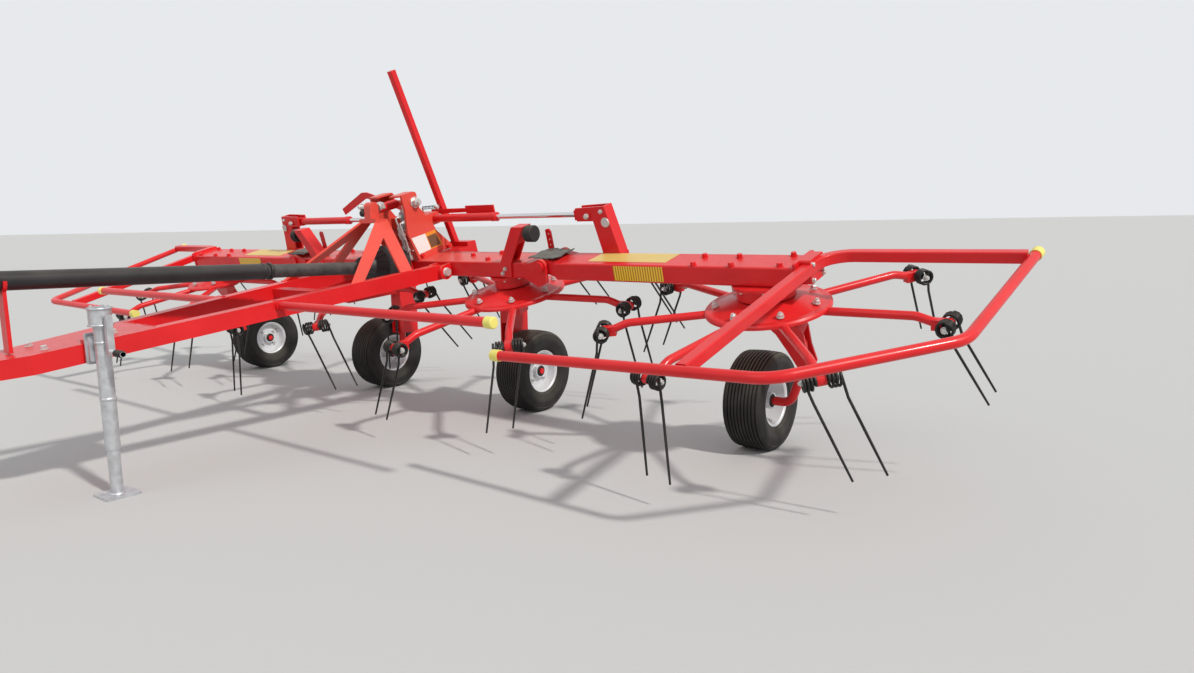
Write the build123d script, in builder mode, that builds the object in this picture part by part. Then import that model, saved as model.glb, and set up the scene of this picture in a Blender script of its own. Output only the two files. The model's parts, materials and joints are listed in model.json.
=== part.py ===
from build123d import *
import os
from math import cos, radians, sin

os.makedirs("parts", exist_ok=True)

# A trailed hay tedder with four rotors, in millimetres.
# X runs to the machine's left, Y to the rear and Z up; the ground is Z = 0.

# The rotor row: four rotor axes in a plane that leans forward
row_y = 672.6
row_height = 620.0
row_lean = 15.0
rotor_spacing = 1300.0
inner_rotor_x = rotor_spacing / 2
outer_rotor_x = rotor_spacing * 1.5

# Clearances
pin_gap = 0.1
seat_gap = 0.3

# Main beam and wing beams, both of one rectangular section
beam_depth = 164.0
beam_low = 96.0
beam_tall = 76.0
beam_top = beam_low + beam_tall
beam_front = -beam_depth / 2
beam_rear = beam_depth / 2
beam_round = 8.0
main_beam_end = 880.0
wing_beam_start = 1000.0
wing_beam_end = 2104.0
end_plate_thick = 12.0
end_plate_tall = 94.0

# Fold hinge between the main beam and each wing
hinge_x = 930.0
hinge_height = 160.0
hinge_pin_r = 15.0
hinge_eye_r = 32.0
lug_thick = 16.0
lug_drop = 96.0
knuckle_gap = 5.0
pin_head_r = 24.0
pin_head_long = 12.0

# Wing stops on the main beam, each an open channel with a rubber buffer
stop_base_x = 690.0
stop_top_x = 800.0
stop_width = 66.0
stop_height = 300.0
stop_front = -90.0
stop_depth = 62.0
stop_wall = 8.0
buffer_r = 37.0
buffer_face_x = 908.0

# Perforated post behind each hinge
post_x = 850.0
post_wide = 30.0
post_tall = 112.0
post_thick = 8.0
post_hole_r = 5.0

# Headstock: two plates on the beam and the anchor of the wing cylinders
headstock_x = 110.0
headstock_thick = 12.0
head_bolt_y = -16.0
head_bolt_height = 452.0
head_round = 50.0
head_bolt_r = 14.0
head_cap_wall = 8.0
head_cap_long = 84.0
head_cap_open = 90.0
head_tie_r = 16.0
anchor_tall = 60.0

# Wing cylinders, one with its barrel inboard and one turned round
cylinder_y = 100.0
cylinder_height = 340.0
cylinder_pin_x = 1111.0
barrel_r = 20.0
barrel_wall = 4.0
barrel_long = 436.0
gland_long = 34.0
gland_r = 22.0
rod_r = 12.0
eye_r = 24.0
eye_thick = 32.0
cylinder_pin_r = 12.0
bracket_gap = 40.0
bracket_thick = 10.0
pin_cap = 4.0
pin_cap_r = 18.0
hook_pivot_r = 12.0

# Rotor: dish, gear hub above it, boss and arms
dish_r = 240.0
dish_thick = 6.0
dish_rise = 34.0
dish_crown_r = 112.0
dish_lip = 14.0
boss_r = 60.0
boss_low = -38.0
axle_r = 28.0
hub_low = 40.0
inner_hub_r = 82.0
outer_hub_r = 112.0
hub_flange_wide = 14.0
hub_flange_thick = 12.0
arm_count = 7
arm_phase = 0.0
arm_d = 32.0
arm_drop = -16.0
arm_bend_r = 545.0
arm_tip_r = 612.0
arm_tip_drop = -38.0
arm_bend = 90.0
clamp_thick = 30.0
clamp_tall = 38.0
clamp_start_r = 596.0

# Tines: a twin coil spring across each arm's tip, with two straight legs
coil_r = 32.0
coil_long = 128.0
coil_centre_r = 650.0
coil_drop = -42.0
core_r = 10.0
tine_d = 10.0
tine_tip_r = 762.0
tine_tip_drop = -345.0
tine_trail = 95.0

# Wheels
tyre_r = 204.0
tyre_width = 165.0
bead_r = 104.0
rim_width = 132.0
rim_wall = 4.0
rim_dish_x = 20.0
wheel_hub_r = 34.0
wheel_hub_long = 96.0
spindle_r = 14.0
outer_wheel_x = 1839.0
outer_wheel_back = 190.0
inner_wheel_x = 575.0
inner_wheel_back = 205.0

# Wheel legs under the rotors
leg_plate_r = 66.0
leg_plate_thick = 12.0
leg_plate_gap = 7.0
leg_wall = 8.0
leg_beam_tall = 46.0
inner_leg_x = 430.0
inner_leg_wide = 80.0
inner_leg_deep = 120.0
inner_leg_back = 228.0
inner_leg_low = 330.0
inner_leg_high = 590.0
outer_leg_x = 2028.0
outer_leg_foot = 372.0
outer_knee_x = 1968.0
outer_leg_deep = 62.0
outer_leg_lean = 38.0
leg_tube_d = 36.0
leg_tube_bend = 55.0
tube_top = 460.0

# Drawbar: two beams that meet at the hitch, sloping down to the front
drawbar_slope = 7.6
drawbar_pin_back = -150.0
drawbar_pin_height = 715.0
drawbar_pin_x = 300.0
drawbar_front_x = 100.0
drawbar_long = 1695.0
drawbar_wide = 60.0
drawbar_tall = 68.0
drawbar_pin_r = 12.0
drawbar_eye_wide = 76.0
clevis_thick = 12.0
clevis_r = 36.0
cross_piece_y = -560.0
cross_piece_long = 480.0
pin_nut_r = 20.0
pin_nut_thick = 14.0

# Hitch eye at the drawbar's front
hitch_bore_r = 16.0
hitch_eye_r = 40.0
hitch_thick = 30.0
hitch_reach = 90.0
tongue_wide = 76.0
tongue_long = 230.0
tongue_start = 150.0

# Tower over the drawbar and the link to the headstock
tower_thick = 12.0
tower_bar = 58.0
tower_block = 66.0
tower_pin_up = 36.0
tower_window_drop = 116.0
link_d = 44.0

# Outer guard: X, distance behind the row and Z at its ends and bends
guard_inner_x = 1367.0
guard_inner_back = -854.0
guard_inner_z = 492.0
guard_front_x = 2377.0
guard_front_back = -885.0
guard_front_z = 519.0
guard_side_x = 2763.0
guard_side_back = -458.0
guard_side_z = 599.0
guard_rear_x = 2824.0
guard_rear_back = 152.0
guard_rear_z = 806.0
brace_low_x = 2095.0
brace_high_x = 2150.0
brace_low_back = -866.0
brace_low_z = 514.0
brace_high_back = 60.0
brace_high_z = 804.0

# Guard tubes
guard_d = 35.0
guard_bend = 130.0
brace_side = 40.0
cap_long = 34.0
cap_wall = 3.0
guard_socket_x = 200.0
guard_socket_wall = 5.0
guard_post_r = 15.0
inner_guard_start = 246.0
inner_guard_end = 1420.0
inner_guard_back = -965.0
inner_guard_height = 622.0

# Drive shaft along the machine's centre, rising slightly to the front
shaft_rise = 1.35
shaft_back = -215.0
shaft_height = 736.0
shaft_bell_r = 104.0
bell_wall = 5.0
bell_skirt = 60.0
bell_front = 170.0
gearbox_front = -118.0
gearbox_half = 74.0
gearbox_nose_r = 44.0
rear_tube_d = 60.0
front_tube_d = 68.0
tube_step = 665.0
front_tube_end = 1700.0
yoke_bore_r = 17.5
yoke_r = 30.0
yoke_long = 110.0
yoke_bore_deep = 70.0
tube_collar_long = 60.0
tube_collar_wall = 14.0

# Parking jack beside the left drawbar beam
jack_stand_off = 61.0
jack_back = -1640.0
jack_height = 530.0
jack_tube_r = 25.0
jack_bore_r = 21.0
jack_below = 360.0
jack_above = 80.0
jack_head_r = 37.0
jack_head_tall = 66.0
jack_leg_top = 100.0
jack_foot = 120.0
jack_foot_thick = 8.0
jack_spigot_r = 20.0
jack_plate_thick = 8.0
jack_swivel_gap = 16.0
crank_long = 140.0
crank_d = 14.0
crank_arm_out = 27.0
crank_grip_long = 90.0

# Mast behind the headstock
mast_x = 100.0
mast_side = 32.0
mast_bracket_wide = 130.0
mast_foot = (182.0, 780.0)
mast_top = (-219.0, 1670.0)

lean = radians(row_lean)
row = Plane(origin=(0, row_y, row_height), x_dir=(1, 0, 0), z_dir=(0, -sin(lean), cos(lean)))
slope = radians(drawbar_slope)
drawbar_plane = Plane(
    origin=(0, row_y + drawbar_pin_back, drawbar_pin_height),
    x_dir=(1, 0, 0),
    z_dir=(0, -sin(slope), cos(slope)),
)
jack_along = (drawbar_pin_back - jack_back) / cos(slope)
jack_pad_x = drawbar_pin_x - (drawbar_pin_x - drawbar_front_x) * jack_along / drawbar_long
jack_x = jack_pad_x + drawbar_wide / 2 + jack_stand_off
jack_plate_x = jack_x - jack_tube_r - jack_swivel_gap
guard_along = (drawbar_pin_back - inner_guard_back) / cos(slope)
guard_post_x = drawbar_pin_x - (drawbar_pin_x - drawbar_front_x) * guard_along / drawbar_long
rise = radians(shaft_rise)
shaft_plane = Plane(
    origin=(0, row_y + shaft_back, shaft_height),
    x_dir=(1, 0, 0),
    z_dir=(0, -cos(rise), sin(rise)),
)


def row_at(x, y=0.0, height=0.0):
    """A plane parallel to the rotor row, at a point in the row's own axes."""
    return Plane(origin=row.from_local_coords((x, y, height)), x_dir=row.x_dir, z_dir=row.z_dir)


def row_point(x, y, height):
    """A point given in the row's own axes."""
    return row.from_local_coords((x, y, height))


def row_face(y):
    """A plane across the row's depth: its x is X, its y is the row's height, it looks forward."""
    return Plane(origin=row.from_local_coords((0, y, 0)), x_dir=row.x_dir, z_dir=-row.y_dir)


def row_side(x):
    """A plane that looks to the left: its x is the row's depth, its y the row's height."""
    return Plane(origin=row.from_local_coords((x, 0, 0)), x_dir=row.y_dir, z_dir=row.x_dir)


def back(x, y, z):
    """A point in X, behind the row by y, and Z."""
    return Vector(x, row_y + y, z)


def drawbar_point(x, y, height=0.0):
    """A point in the drawbar's own axes."""
    return drawbar_plane.from_local_coords((x, y, height))


def aim(start, end):
    """A plane at start that looks towards end."""
    return Plane(origin=start, z_dir=(Vector(*end) - Vector(*start)).normalized())


def keep(part, name):
    """Label a finished piece and write it."""
    part.label = name
    export_step(part, f"parts/{name}.step")


def keep_pair(part, name):
    """Write a left piece and its mirror image."""
    keep(part, f"{name}_left")
    keep(mirror(part, about=Plane.YZ), f"{name}_right")


def bent_tube(points, bend, outer_d):
    """A round bar or tube along straight runs joined by arcs."""
    with BuildPart() as tube:
        with BuildLine() as route:
            FilletPolyline(*points, radius=bend)
        with BuildSketch(Plane(origin=route.line @ 0, z_dir=route.line % 0)):
            Circle(outer_d / 2)
        sweep(path=route.line)
    return tube.part


def square_tube(points, bend, side):
    """A square bar along straight runs joined by arcs."""
    with BuildPart() as tube:
        with BuildLine() as route:
            FilletPolyline(*points, radius=bend)
        with BuildSketch(Plane(origin=route.line @ 0, x_dir=(0, 0, 1), z_dir=route.line % 0)):
            RectangleRounded(side, side, side / 8)
        sweep(path=route.line)
    return tube.part


def rod(start, end, diameter):
    """A straight round bar from one point to another."""
    with BuildPart() as bar:
        with BuildSketch(aim(start, end)):
            Circle(diameter / 2)
        extrude(amount=(Vector(*end) - Vector(*start)).length)
    return bar.part


# Main beam with the hinge lugs at its ends and the clevises of the drawbar
with BuildPart() as main_beam:
    with BuildSketch(row_side(0)):
        with Locations((0, beam_low + beam_tall / 2)):
            RectangleRounded(beam_depth, beam_tall, beam_round)
    extrude(amount=main_beam_end, both=True)
    for side in (1, -1):
        for lug_y in (beam_front, beam_rear + lug_thick):
            with BuildSketch(row_face(lug_y)):
                with BuildLine():
                    Polyline(
                        (side * (main_beam_end - 50), beam_top - beam_round),
                        (side * (main_beam_end - 50), beam_low + beam_round),
                        (side * (main_beam_end + 20), hinge_height - lug_drop),
                        (side * (hinge_x + hinge_eye_r - 10), hinge_height - lug_drop + 20),
                        (side * (hinge_x + hinge_eye_r), hinge_height),
                        (side * hinge_x, hinge_height + hinge_eye_r),
                        close=True,
                    )
                make_face()
                with Locations((side * hinge_x, hinge_height)):
                    Circle(hinge_eye_r)
            extrude(amount=lug_thick)
        with BuildSketch(row_face(beam_front - lug_thick)):
            with Locations((side * hinge_x, hinge_height)):
                Circle(hinge_pin_r + pin_gap)
        extrude(amount=-beam_depth - 2 * lug_thick, both=True, mode=Mode.SUBTRACT)
    for side in (1, -1):
        for cheek in (drawbar_eye_wide / 2 + seat_gap, -drawbar_eye_wide / 2 - seat_gap - clevis_thick):
            with BuildSketch(row_side(side * drawbar_pin_x + cheek)) as clevis:
                pin_local = row.to_local_coords(back(0, drawbar_pin_back, drawbar_pin_height))
                with BuildLine():
                    Polyline(
                        (beam_front, beam_top - beam_round),
                        (beam_front, beam_low + beam_round),
                        (pin_local.Y, pin_local.Z - clevis_r),
                        (pin_local.Y, pin_local.Z + clevis_r),
                        close=True,
                    )
                make_face()
                with Locations((pin_local.Y, pin_local.Z)):
                    Circle(clevis_r)
                    Circle(drawbar_pin_r + pin_gap, mode=Mode.SUBTRACT)
            extrude(amount=clevis_thick)
keep(main_beam.part, "main_beam")

# Fold pins, each with a head at the front and the rear
with BuildPart() as fold_pins:
    for side in (1, -1):
        with BuildSketch(row_face(beam_rear + lug_thick)):
            with Locations((side * hinge_x, hinge_height)):
                Circle(hinge_pin_r)
        extrude(amount=beam_depth + 2 * lug_thick)
        with BuildSketch(row_face(beam_front - lug_thick)):
            with Locations((side * hinge_x, hinge_height)):
                Circle(pin_head_r)
        extrude(amount=pin_head_long)
        with BuildSketch(row_face(beam_rear + lug_thick + pin_head_long)):
            with Locations((side * hinge_x, hinge_height)):
                Circle(pin_head_r)
        extrude(amount=pin_head_long)
keep(fold_pins.part, "fold_pins")

# Wing stops: a channel open to the outside, its front plate over the beam's front face
with BuildPart() as stop_arm:
    with BuildSketch(row_face(stop_front + stop_depth)):
        with BuildLine():
            Polyline(
                (stop_base_x, beam_top),
                (stop_base_x + stop_width, beam_top),
                (stop_top_x + stop_width, stop_height + buffer_r),
                (stop_top_x, stop_height + buffer_r),
                close=True,
            )
        make_face()
    extrude(amount=stop_depth)
    with BuildSketch(row_face(stop_front + stop_depth - stop_wall)):
        with BuildLine():
            Polyline(
                (stop_base_x + stop_wall * 1.5, beam_top + stop_wall),
                (stop_base_x + 2 * stop_width, beam_top + stop_wall),
                (stop_top_x + 2 * stop_width, stop_height - buffer_r - stop_wall),
                (stop_top_x - stop_wall, stop_height - buffer_r - stop_wall),
                close=True,
            )
        make_face()
    extrude(amount=stop_depth - 2 * stop_wall, mode=Mode.SUBTRACT)
    with BuildSketch(row_face(beam_front)):
        with BuildLine():
            Polyline(
                (stop_base_x - 26, beam_low + beam_round),
                (stop_base_x + stop_width - 14, beam_low + beam_round),
                (stop_base_x + stop_width, beam_top),
                (stop_base_x, beam_top),
                close=True,
            )
        make_face()
    extrude(amount=stop_wall)
with BuildPart() as stop_arms:
    add(stop_arm.part)
    mirror(about=Plane.YZ)
keep(stop_arms.part, "stop_arms")

# Perforated posts behind the hinges
with BuildPart() as hinge_posts:
    with BuildSketch(row_face(beam_rear)):
        with BuildLine():
            Polyline(
                (post_x, beam_top),
                (post_x + post_wide, beam_top),
                (post_x + post_wide, beam_top + post_tall - 14),
                (post_x + post_wide - 10, beam_top + post_tall),
                (post_x, beam_top + post_tall - 4),
                close=True,
            )
        make_face()
        for number in range(3):
            with Locations((post_x + post_wide / 2, beam_top + 36 + 26 * number)):
                Circle(post_hole_r, mode=Mode.SUBTRACT)
    extrude(amount=post_thick)
    mirror(about=Plane.YZ)
keep(hinge_posts.part, "hinge_posts")

with BuildPart() as stop_buffers:
    buffer_y = stop_front + stop_depth / 2
    with BuildSketch(row_side(stop_top_x + stop_width)):
        with Locations((buffer_y, stop_height)):
            Circle(buffer_r)
    extrude(amount=buffer_face_x - stop_top_x - stop_width)
    chamfer(stop_buffers.faces().sort_by(Axis.X)[-1].edges(), 4)
    mirror(about=Plane.YZ)
keep(stop_buffers.part, "stop_buffers")

# Headstock plates, outline in the row's depth and height
headstock_outline = (
    (-74.0, beam_top),
    (158.0, beam_top),
    (158.0, beam_top + 18.0),
    (68.0, 298.0),
    (head_bolt_y + head_round, head_bolt_height - 30.0),
    (head_bolt_y - head_round, head_bolt_height),
    (-100.0, 285.0),
)
anchor_rear = cylinder_y + 30.0
with BuildPart() as headstock:
    with BuildSketch(row_side(headstock_x)):
        with BuildLine():
            Polyline(*headstock_outline, close=True)
        make_face()
        with Locations((head_bolt_y, head_bolt_height)):
            Circle(head_round)
    extrude(amount=headstock_thick)
    with BuildSketch(row_side(headstock_x)):
        with Locations((head_bolt_y, head_bolt_height)):
            Circle(head_round)
            Circle(head_round - head_cap_wall, mode=Mode.SUBTRACT)
        with Locations((head_bolt_y - head_round / 2, head_bolt_height - head_round + head_cap_open / 2)):
            Rectangle(head_round, head_cap_open, mode=Mode.SUBTRACT)
        with Locations((head_bolt_y + head_round / 2, head_bolt_height - head_round / 2)):
            Rectangle(head_round, head_round, mode=Mode.SUBTRACT)
    extrude(amount=-head_cap_long)
    mirror(about=Plane.YZ)
    with BuildSketch(row_side(0)):
        with Locations((anchor_rear / 2, cylinder_height)):
            RectangleRounded(anchor_rear, anchor_tall, 8)
    extrude(amount=headstock_x, both=True)
    with BuildSketch(row_side(headstock_x)):
        with Locations((68, 240)):
            Circle(head_tie_r)
    extrude(amount=-2 * headstock_x)
    with BuildSketch(row_side(headstock_x)):
        with Locations((head_bolt_y, head_bolt_height)):
            Circle(head_bolt_r)
    extrude(amount=-2 * headstock_x)
keep(headstock.part, "headstock")

# Gearbox ahead of the beam, its round nose and flange inside the drive shaft's bell
with BuildPart() as gearbox:
    with BuildSketch(row_side(0)):
        with BuildLine():
            Polyline(
                (beam_front, beam_low - 10),
                (beam_front, beam_top),
                (gearbox_front + 14, beam_top + 6),
                (gearbox_front, beam_top - 8),
                (gearbox_front, beam_low),
                (gearbox_front + 14, beam_low - 10),
                close=True,
            )
        make_face()
    extrude(amount=gearbox_half, both=True)
    with BuildSketch(shaft_plane.offset(-bell_skirt - 20)):
        Circle(gearbox_nose_r)
    extrude(amount=bell_skirt + 20)
    with BuildSketch(shaft_plane.offset(-bell_skirt + 4)):
        Circle(shaft_bell_r - bell_wall - seat_gap)
    extrude(amount=bell_wall)
keep(gearbox.part, "gearbox")


def gear_hub(x, hub_r):
    """The round gear housing that hangs under a beam over one rotor."""
    with BuildPart() as hub:
        with BuildSketch(row_at(x, 0, hub_low)):
            Circle(hub_r)
        extrude(amount=beam_low - hub_low)
        with BuildSketch(row_at(x, 0, beam_low - hub_flange_thick)):
            Circle(hub_r + hub_flange_wide)
        extrude(amount=hub_flange_thick)
        with BuildSketch(row_at(x, 0, hub_low)):
            Circle(axle_r)
        extrude(amount=boss_low - leg_plate_gap - hub_low)
    return hub.part


with BuildPart() as inner_gear_hubs:
    add(gear_hub(inner_rotor_x, inner_hub_r))
    mirror(about=Plane.YZ)
keep(inner_gear_hubs.part, "gear_hubs_inner")
keep_pair(gear_hub(outer_rotor_x, outer_hub_r), "gear_hub_outer")

leg_top = boss_low - leg_plate_gap

# Inner wheel legs: a beam under the gear hub, a channel open to the front and the bent spindle tube
spindle_reach = wheel_hub_long / 2 + 14
inner_tube_bent = bent_tube(
    (
        back(inner_leg_x, inner_wheel_back, tube_top),
        back(inner_leg_x, inner_wheel_back, tyre_r),
        back(inner_wheel_x - spindle_reach, inner_wheel_back, tyre_r),
    ),
    leg_tube_bend,
    leg_tube_d,
)
with BuildPart() as inner_legs:
    with BuildSketch(row_at(inner_rotor_x, 0, leg_top)):
        Circle(leg_plate_r)
    extrude(amount=-leg_plate_thick)
    with BuildSketch(row_at(inner_rotor_x, 0, leg_top - leg_plate_thick)):
        with BuildLine():
            Polyline(
                (-leg_plate_r * 0.6, -leg_plate_r * 0.7),
                (leg_plate_r * 0.6, -leg_plate_r * 0.5),
                (leg_plate_r * 0.4, leg_plate_r * 0.6),
                (inner_leg_x + inner_leg_wide / 2 - inner_rotor_x, inner_leg_back + inner_leg_deep / 2),
                (inner_leg_x - inner_leg_wide / 2 - inner_rotor_x, inner_leg_back + inner_leg_deep / 2),
                (inner_leg_x - inner_leg_wide / 2 - inner_rotor_x, inner_leg_back - inner_leg_deep / 2),
                close=True,
            )
        make_face()
    extrude(amount=-leg_beam_tall)
    with BuildSketch(Plane(back(inner_leg_x, inner_leg_back, inner_leg_low))):
        Rectangle(inner_leg_wide, inner_leg_deep)
    extrude(amount=inner_leg_high - inner_leg_low)
    with BuildSketch(Plane(back(inner_leg_x, inner_leg_back - leg_wall, inner_leg_low + leg_wall))):
        Rectangle(inner_leg_wide - 2 * leg_wall, inner_leg_deep)
    extrude(amount=tube_top - 30 - inner_leg_low, mode=Mode.SUBTRACT)
    add(inner_tube_bent)
    with BuildSketch(
        Plane(back(inner_wheel_x - spindle_reach, inner_wheel_back, tyre_r), z_dir=(1, 0, 0))
    ):
        Circle(spindle_r)
    extrude(amount=wheel_hub_long + 24)
    mirror(about=Plane.YZ)
keep(inner_legs.part, "wheel_legs_inner")

# Outer wheel leg: a curved channel open to the outside, and the bent spindle tube in it
outer_tube = bent_tube(
    (
        back(outer_leg_x + 28, outer_wheel_back - 106, outer_leg_foot + 104),
        back(outer_leg_x + 12, outer_wheel_back - 32, outer_leg_foot + 6),
        back(outer_knee_x, outer_wheel_back, tyre_r),
        back(outer_wheel_x + spindle_reach, outer_wheel_back, tyre_r),
    ),
    leg_tube_bend,
    leg_tube_d,
)
leg_tilt = radians(outer_leg_lean)
leg_down = Vector(0, sin(leg_tilt), -cos(leg_tilt))
leg_foot = back(outer_leg_x, outer_wheel_back - 25, outer_leg_foot)
leg_face = Plane(origin=leg_foot, x_dir=(1, 0, 0), z_dir=leg_down.cross(Vector(1, 0, 0)))
# The channel's outline and its hollow, as X from the foot and the way up the leg
leg_outline = ((59, 190), (49, 95), (50, 0), (-8, 0), (-30, 100), (-54, 190), (-104, 266), (-24, 266))
leg_crown = (38, 240)
leg_hollow = (
    (80, leg_wall),
    (leg_wall - 8, leg_wall),
    (leg_wall - 30, 100),
    (leg_wall - 54, 184),
    (-18, 214),
    (34, 214),
    (80, 186),
)
with BuildPart() as outer_leg:
    with BuildSketch(row_at(outer_rotor_x, 0, leg_top)):
        Circle(leg_plate_r)
    extrude(amount=-leg_plate_thick)
    with BuildSketch(leg_face.offset(-outer_leg_deep / 2)):
        with BuildLine():
            Polyline(*leg_outline)
            ThreePointArc(leg_outline[-1], leg_crown, leg_outline[0])
        make_face()
    extrude(amount=outer_leg_deep)
    with BuildSketch(leg_face.offset(-outer_leg_deep / 2 + leg_wall)):
        with BuildLine():
            Polyline(*leg_hollow, close=True)
        make_face()
    extrude(amount=outer_leg_deep - 2 * leg_wall, mode=Mode.SUBTRACT)
    split(bisect_by=row_at(outer_rotor_x, 0, leg_top), keep=Keep.BOTTOM)
    add(outer_tube)
    with BuildSketch(Plane(back(outer_wheel_x + spindle_reach, outer_wheel_back, tyre_r), z_dir=(-1, 0, 0))):
        Circle(spindle_r)
    extrude(amount=wheel_hub_long + 24)
keep_pair(outer_leg.part, "wheel_leg_outer")

# Drawbar: two beams, cross pieces and a nose, all in the drawbar's own plane
front_y = -drawbar_long
with BuildPart() as drawbar:
    with BuildSketch(drawbar_plane.offset(-drawbar_tall / 2)):
        for side in (1, -1):
            with BuildLine():
                Polyline(
                    (side * (drawbar_pin_x - drawbar_wide / 2), 0),
                    (side * (drawbar_pin_x + drawbar_wide / 2), 0),
                    (side * (drawbar_front_x + drawbar_wide / 2), front_y),
                    (side * (drawbar_front_x - drawbar_wide / 2), front_y),
                    close=True,
                )
            make_face()
    extrude(amount=drawbar_tall)
    for side in (1, -1):
        eye_start = side * drawbar_pin_x - drawbar_eye_wide / 2
        with BuildSketch(Plane(drawbar_point(eye_start, 0), z_dir=(1, 0, 0))):
            Circle(drawbar_tall / 2)
        extrude(amount=drawbar_eye_wide)
    with BuildSketch(drawbar_plane.offset(-drawbar_tall / 2)):
        with BuildLine():
            Polyline(
                (-drawbar_front_x - drawbar_wide / 2, front_y),
                (drawbar_front_x + drawbar_wide / 2, front_y),
                (tongue_wide / 2, front_y - tongue_start),
                (tongue_wide / 2, front_y - tongue_long),
                (-tongue_wide / 2, front_y - tongue_long),
                (-tongue_wide / 2, front_y - tongue_start),
                close=True,
            )
        make_face()
    extrude(amount=drawbar_tall)
    with BuildSketch(drawbar_plane.offset(drawbar_tall / 2 - 8)):
        with BuildLine():
            Polyline(
                (-drawbar_front_x - 10, front_y),
                (drawbar_front_x + 10, front_y),
                (drawbar_front_x + 50, front_y + 420),
                (-drawbar_front_x - 50, front_y + 420),
                close=True,
            )
        make_face()
    extrude(amount=8)
    with BuildSketch(drawbar_plane.offset(-20)):
        with Locations((0, cross_piece_y)):
            Rectangle(cross_piece_long, 50)
    extrude(amount=40)
    for side in (1, -1):
        socket_start = back(side * guard_socket_x, inner_guard_back, inner_guard_height)
        with BuildSketch(Plane(socket_start, z_dir=(side, 0, 0))):
            Circle(guard_d / 2 + guard_socket_wall)
        extrude(amount=inner_guard_start - guard_socket_x)
        post_foot = drawbar_point(side * guard_post_x, -guard_along)
        post_top = back(side * guard_post_x, inner_guard_back, inner_guard_height)
        add(rod(post_foot, post_top, 2 * guard_post_r))
    with BuildSketch(Plane(back(jack_pad_x, jack_back, jack_height), x_dir=(0, 1, 0), z_dir=(1, 0, 0))):
        Rectangle(70, 60)
    extrude(amount=jack_plate_x - jack_plate_thick - jack_pad_x)
    for side in (1, -1):
        eye_start = side * drawbar_pin_x - drawbar_eye_wide / 2
        with BuildSketch(Plane(drawbar_point(eye_start, 0), z_dir=(1, 0, 0))):
            Circle(drawbar_pin_r + pin_gap)
        extrude(amount=drawbar_eye_wide, mode=Mode.SUBTRACT)
keep(drawbar.part, "drawbar")

# Pins of the drawbar in the clevises of the main beam
pin_long = drawbar_eye_wide + 2 * clevis_thick + 2 * seat_gap
with BuildPart() as drawbar_pins:
    for side in (1, -1):
        pin_start = side * drawbar_pin_x - pin_long / 2
        with BuildSketch(Plane(drawbar_point(pin_start, 0), z_dir=(1, 0, 0))):
            Circle(drawbar_pin_r)
        extrude(amount=pin_long)
        with BuildSketch(Plane(drawbar_point(pin_start + pin_long, 0), z_dir=(1, 0, 0))):
            RegularPolygon(pin_nut_r, 6)
        extrude(amount=pin_nut_thick)
        with BuildSketch(Plane(drawbar_point(pin_start, 0), z_dir=(-1, 0, 0))):
            RegularPolygon(pin_nut_r, 6)
        extrude(amount=pin_nut_thick)
keep(drawbar_pins.part, "drawbar_pins")

# Hitch: an eye with a vertical bore on a flat shank
hitch_height = drawbar_point(0, front_y - tongue_long).Z
hitch_back = drawbar_point(0, front_y - tongue_long).Y - row_y
with BuildPart() as hitch:
    with BuildSketch(Plane(back(0, 0, hitch_height - hitch_thick / 2))):
        with Locations((0, hitch_back - hitch_reach)):
            Circle(hitch_eye_r)
        with Locations((0, hitch_back - hitch_reach / 2 - 3)):
            Rectangle(60, hitch_reach - 6)
    extrude(amount=hitch_thick)
    tongue_end = drawbar_point(0, front_y - tongue_long)
    with BuildSketch(Plane(tongue_end, x_dir=(1, 0, 0), z_dir=-drawbar_plane.y_dir)):
        RectangleRounded(tongue_wide, drawbar_tall, 8)
    extrude(amount=14)
    with BuildSketch(Plane(back(0, 0, hitch_height - hitch_thick / 2))):
        with Locations((0, hitch_back - hitch_reach)):
            Circle(hitch_bore_r)
    extrude(amount=hitch_thick, mode=Mode.SUBTRACT)
keep(hitch.part, "hitch_eye")
print("hitch eye centre", back(0, hitch_back - hitch_reach, hitch_height))

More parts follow.
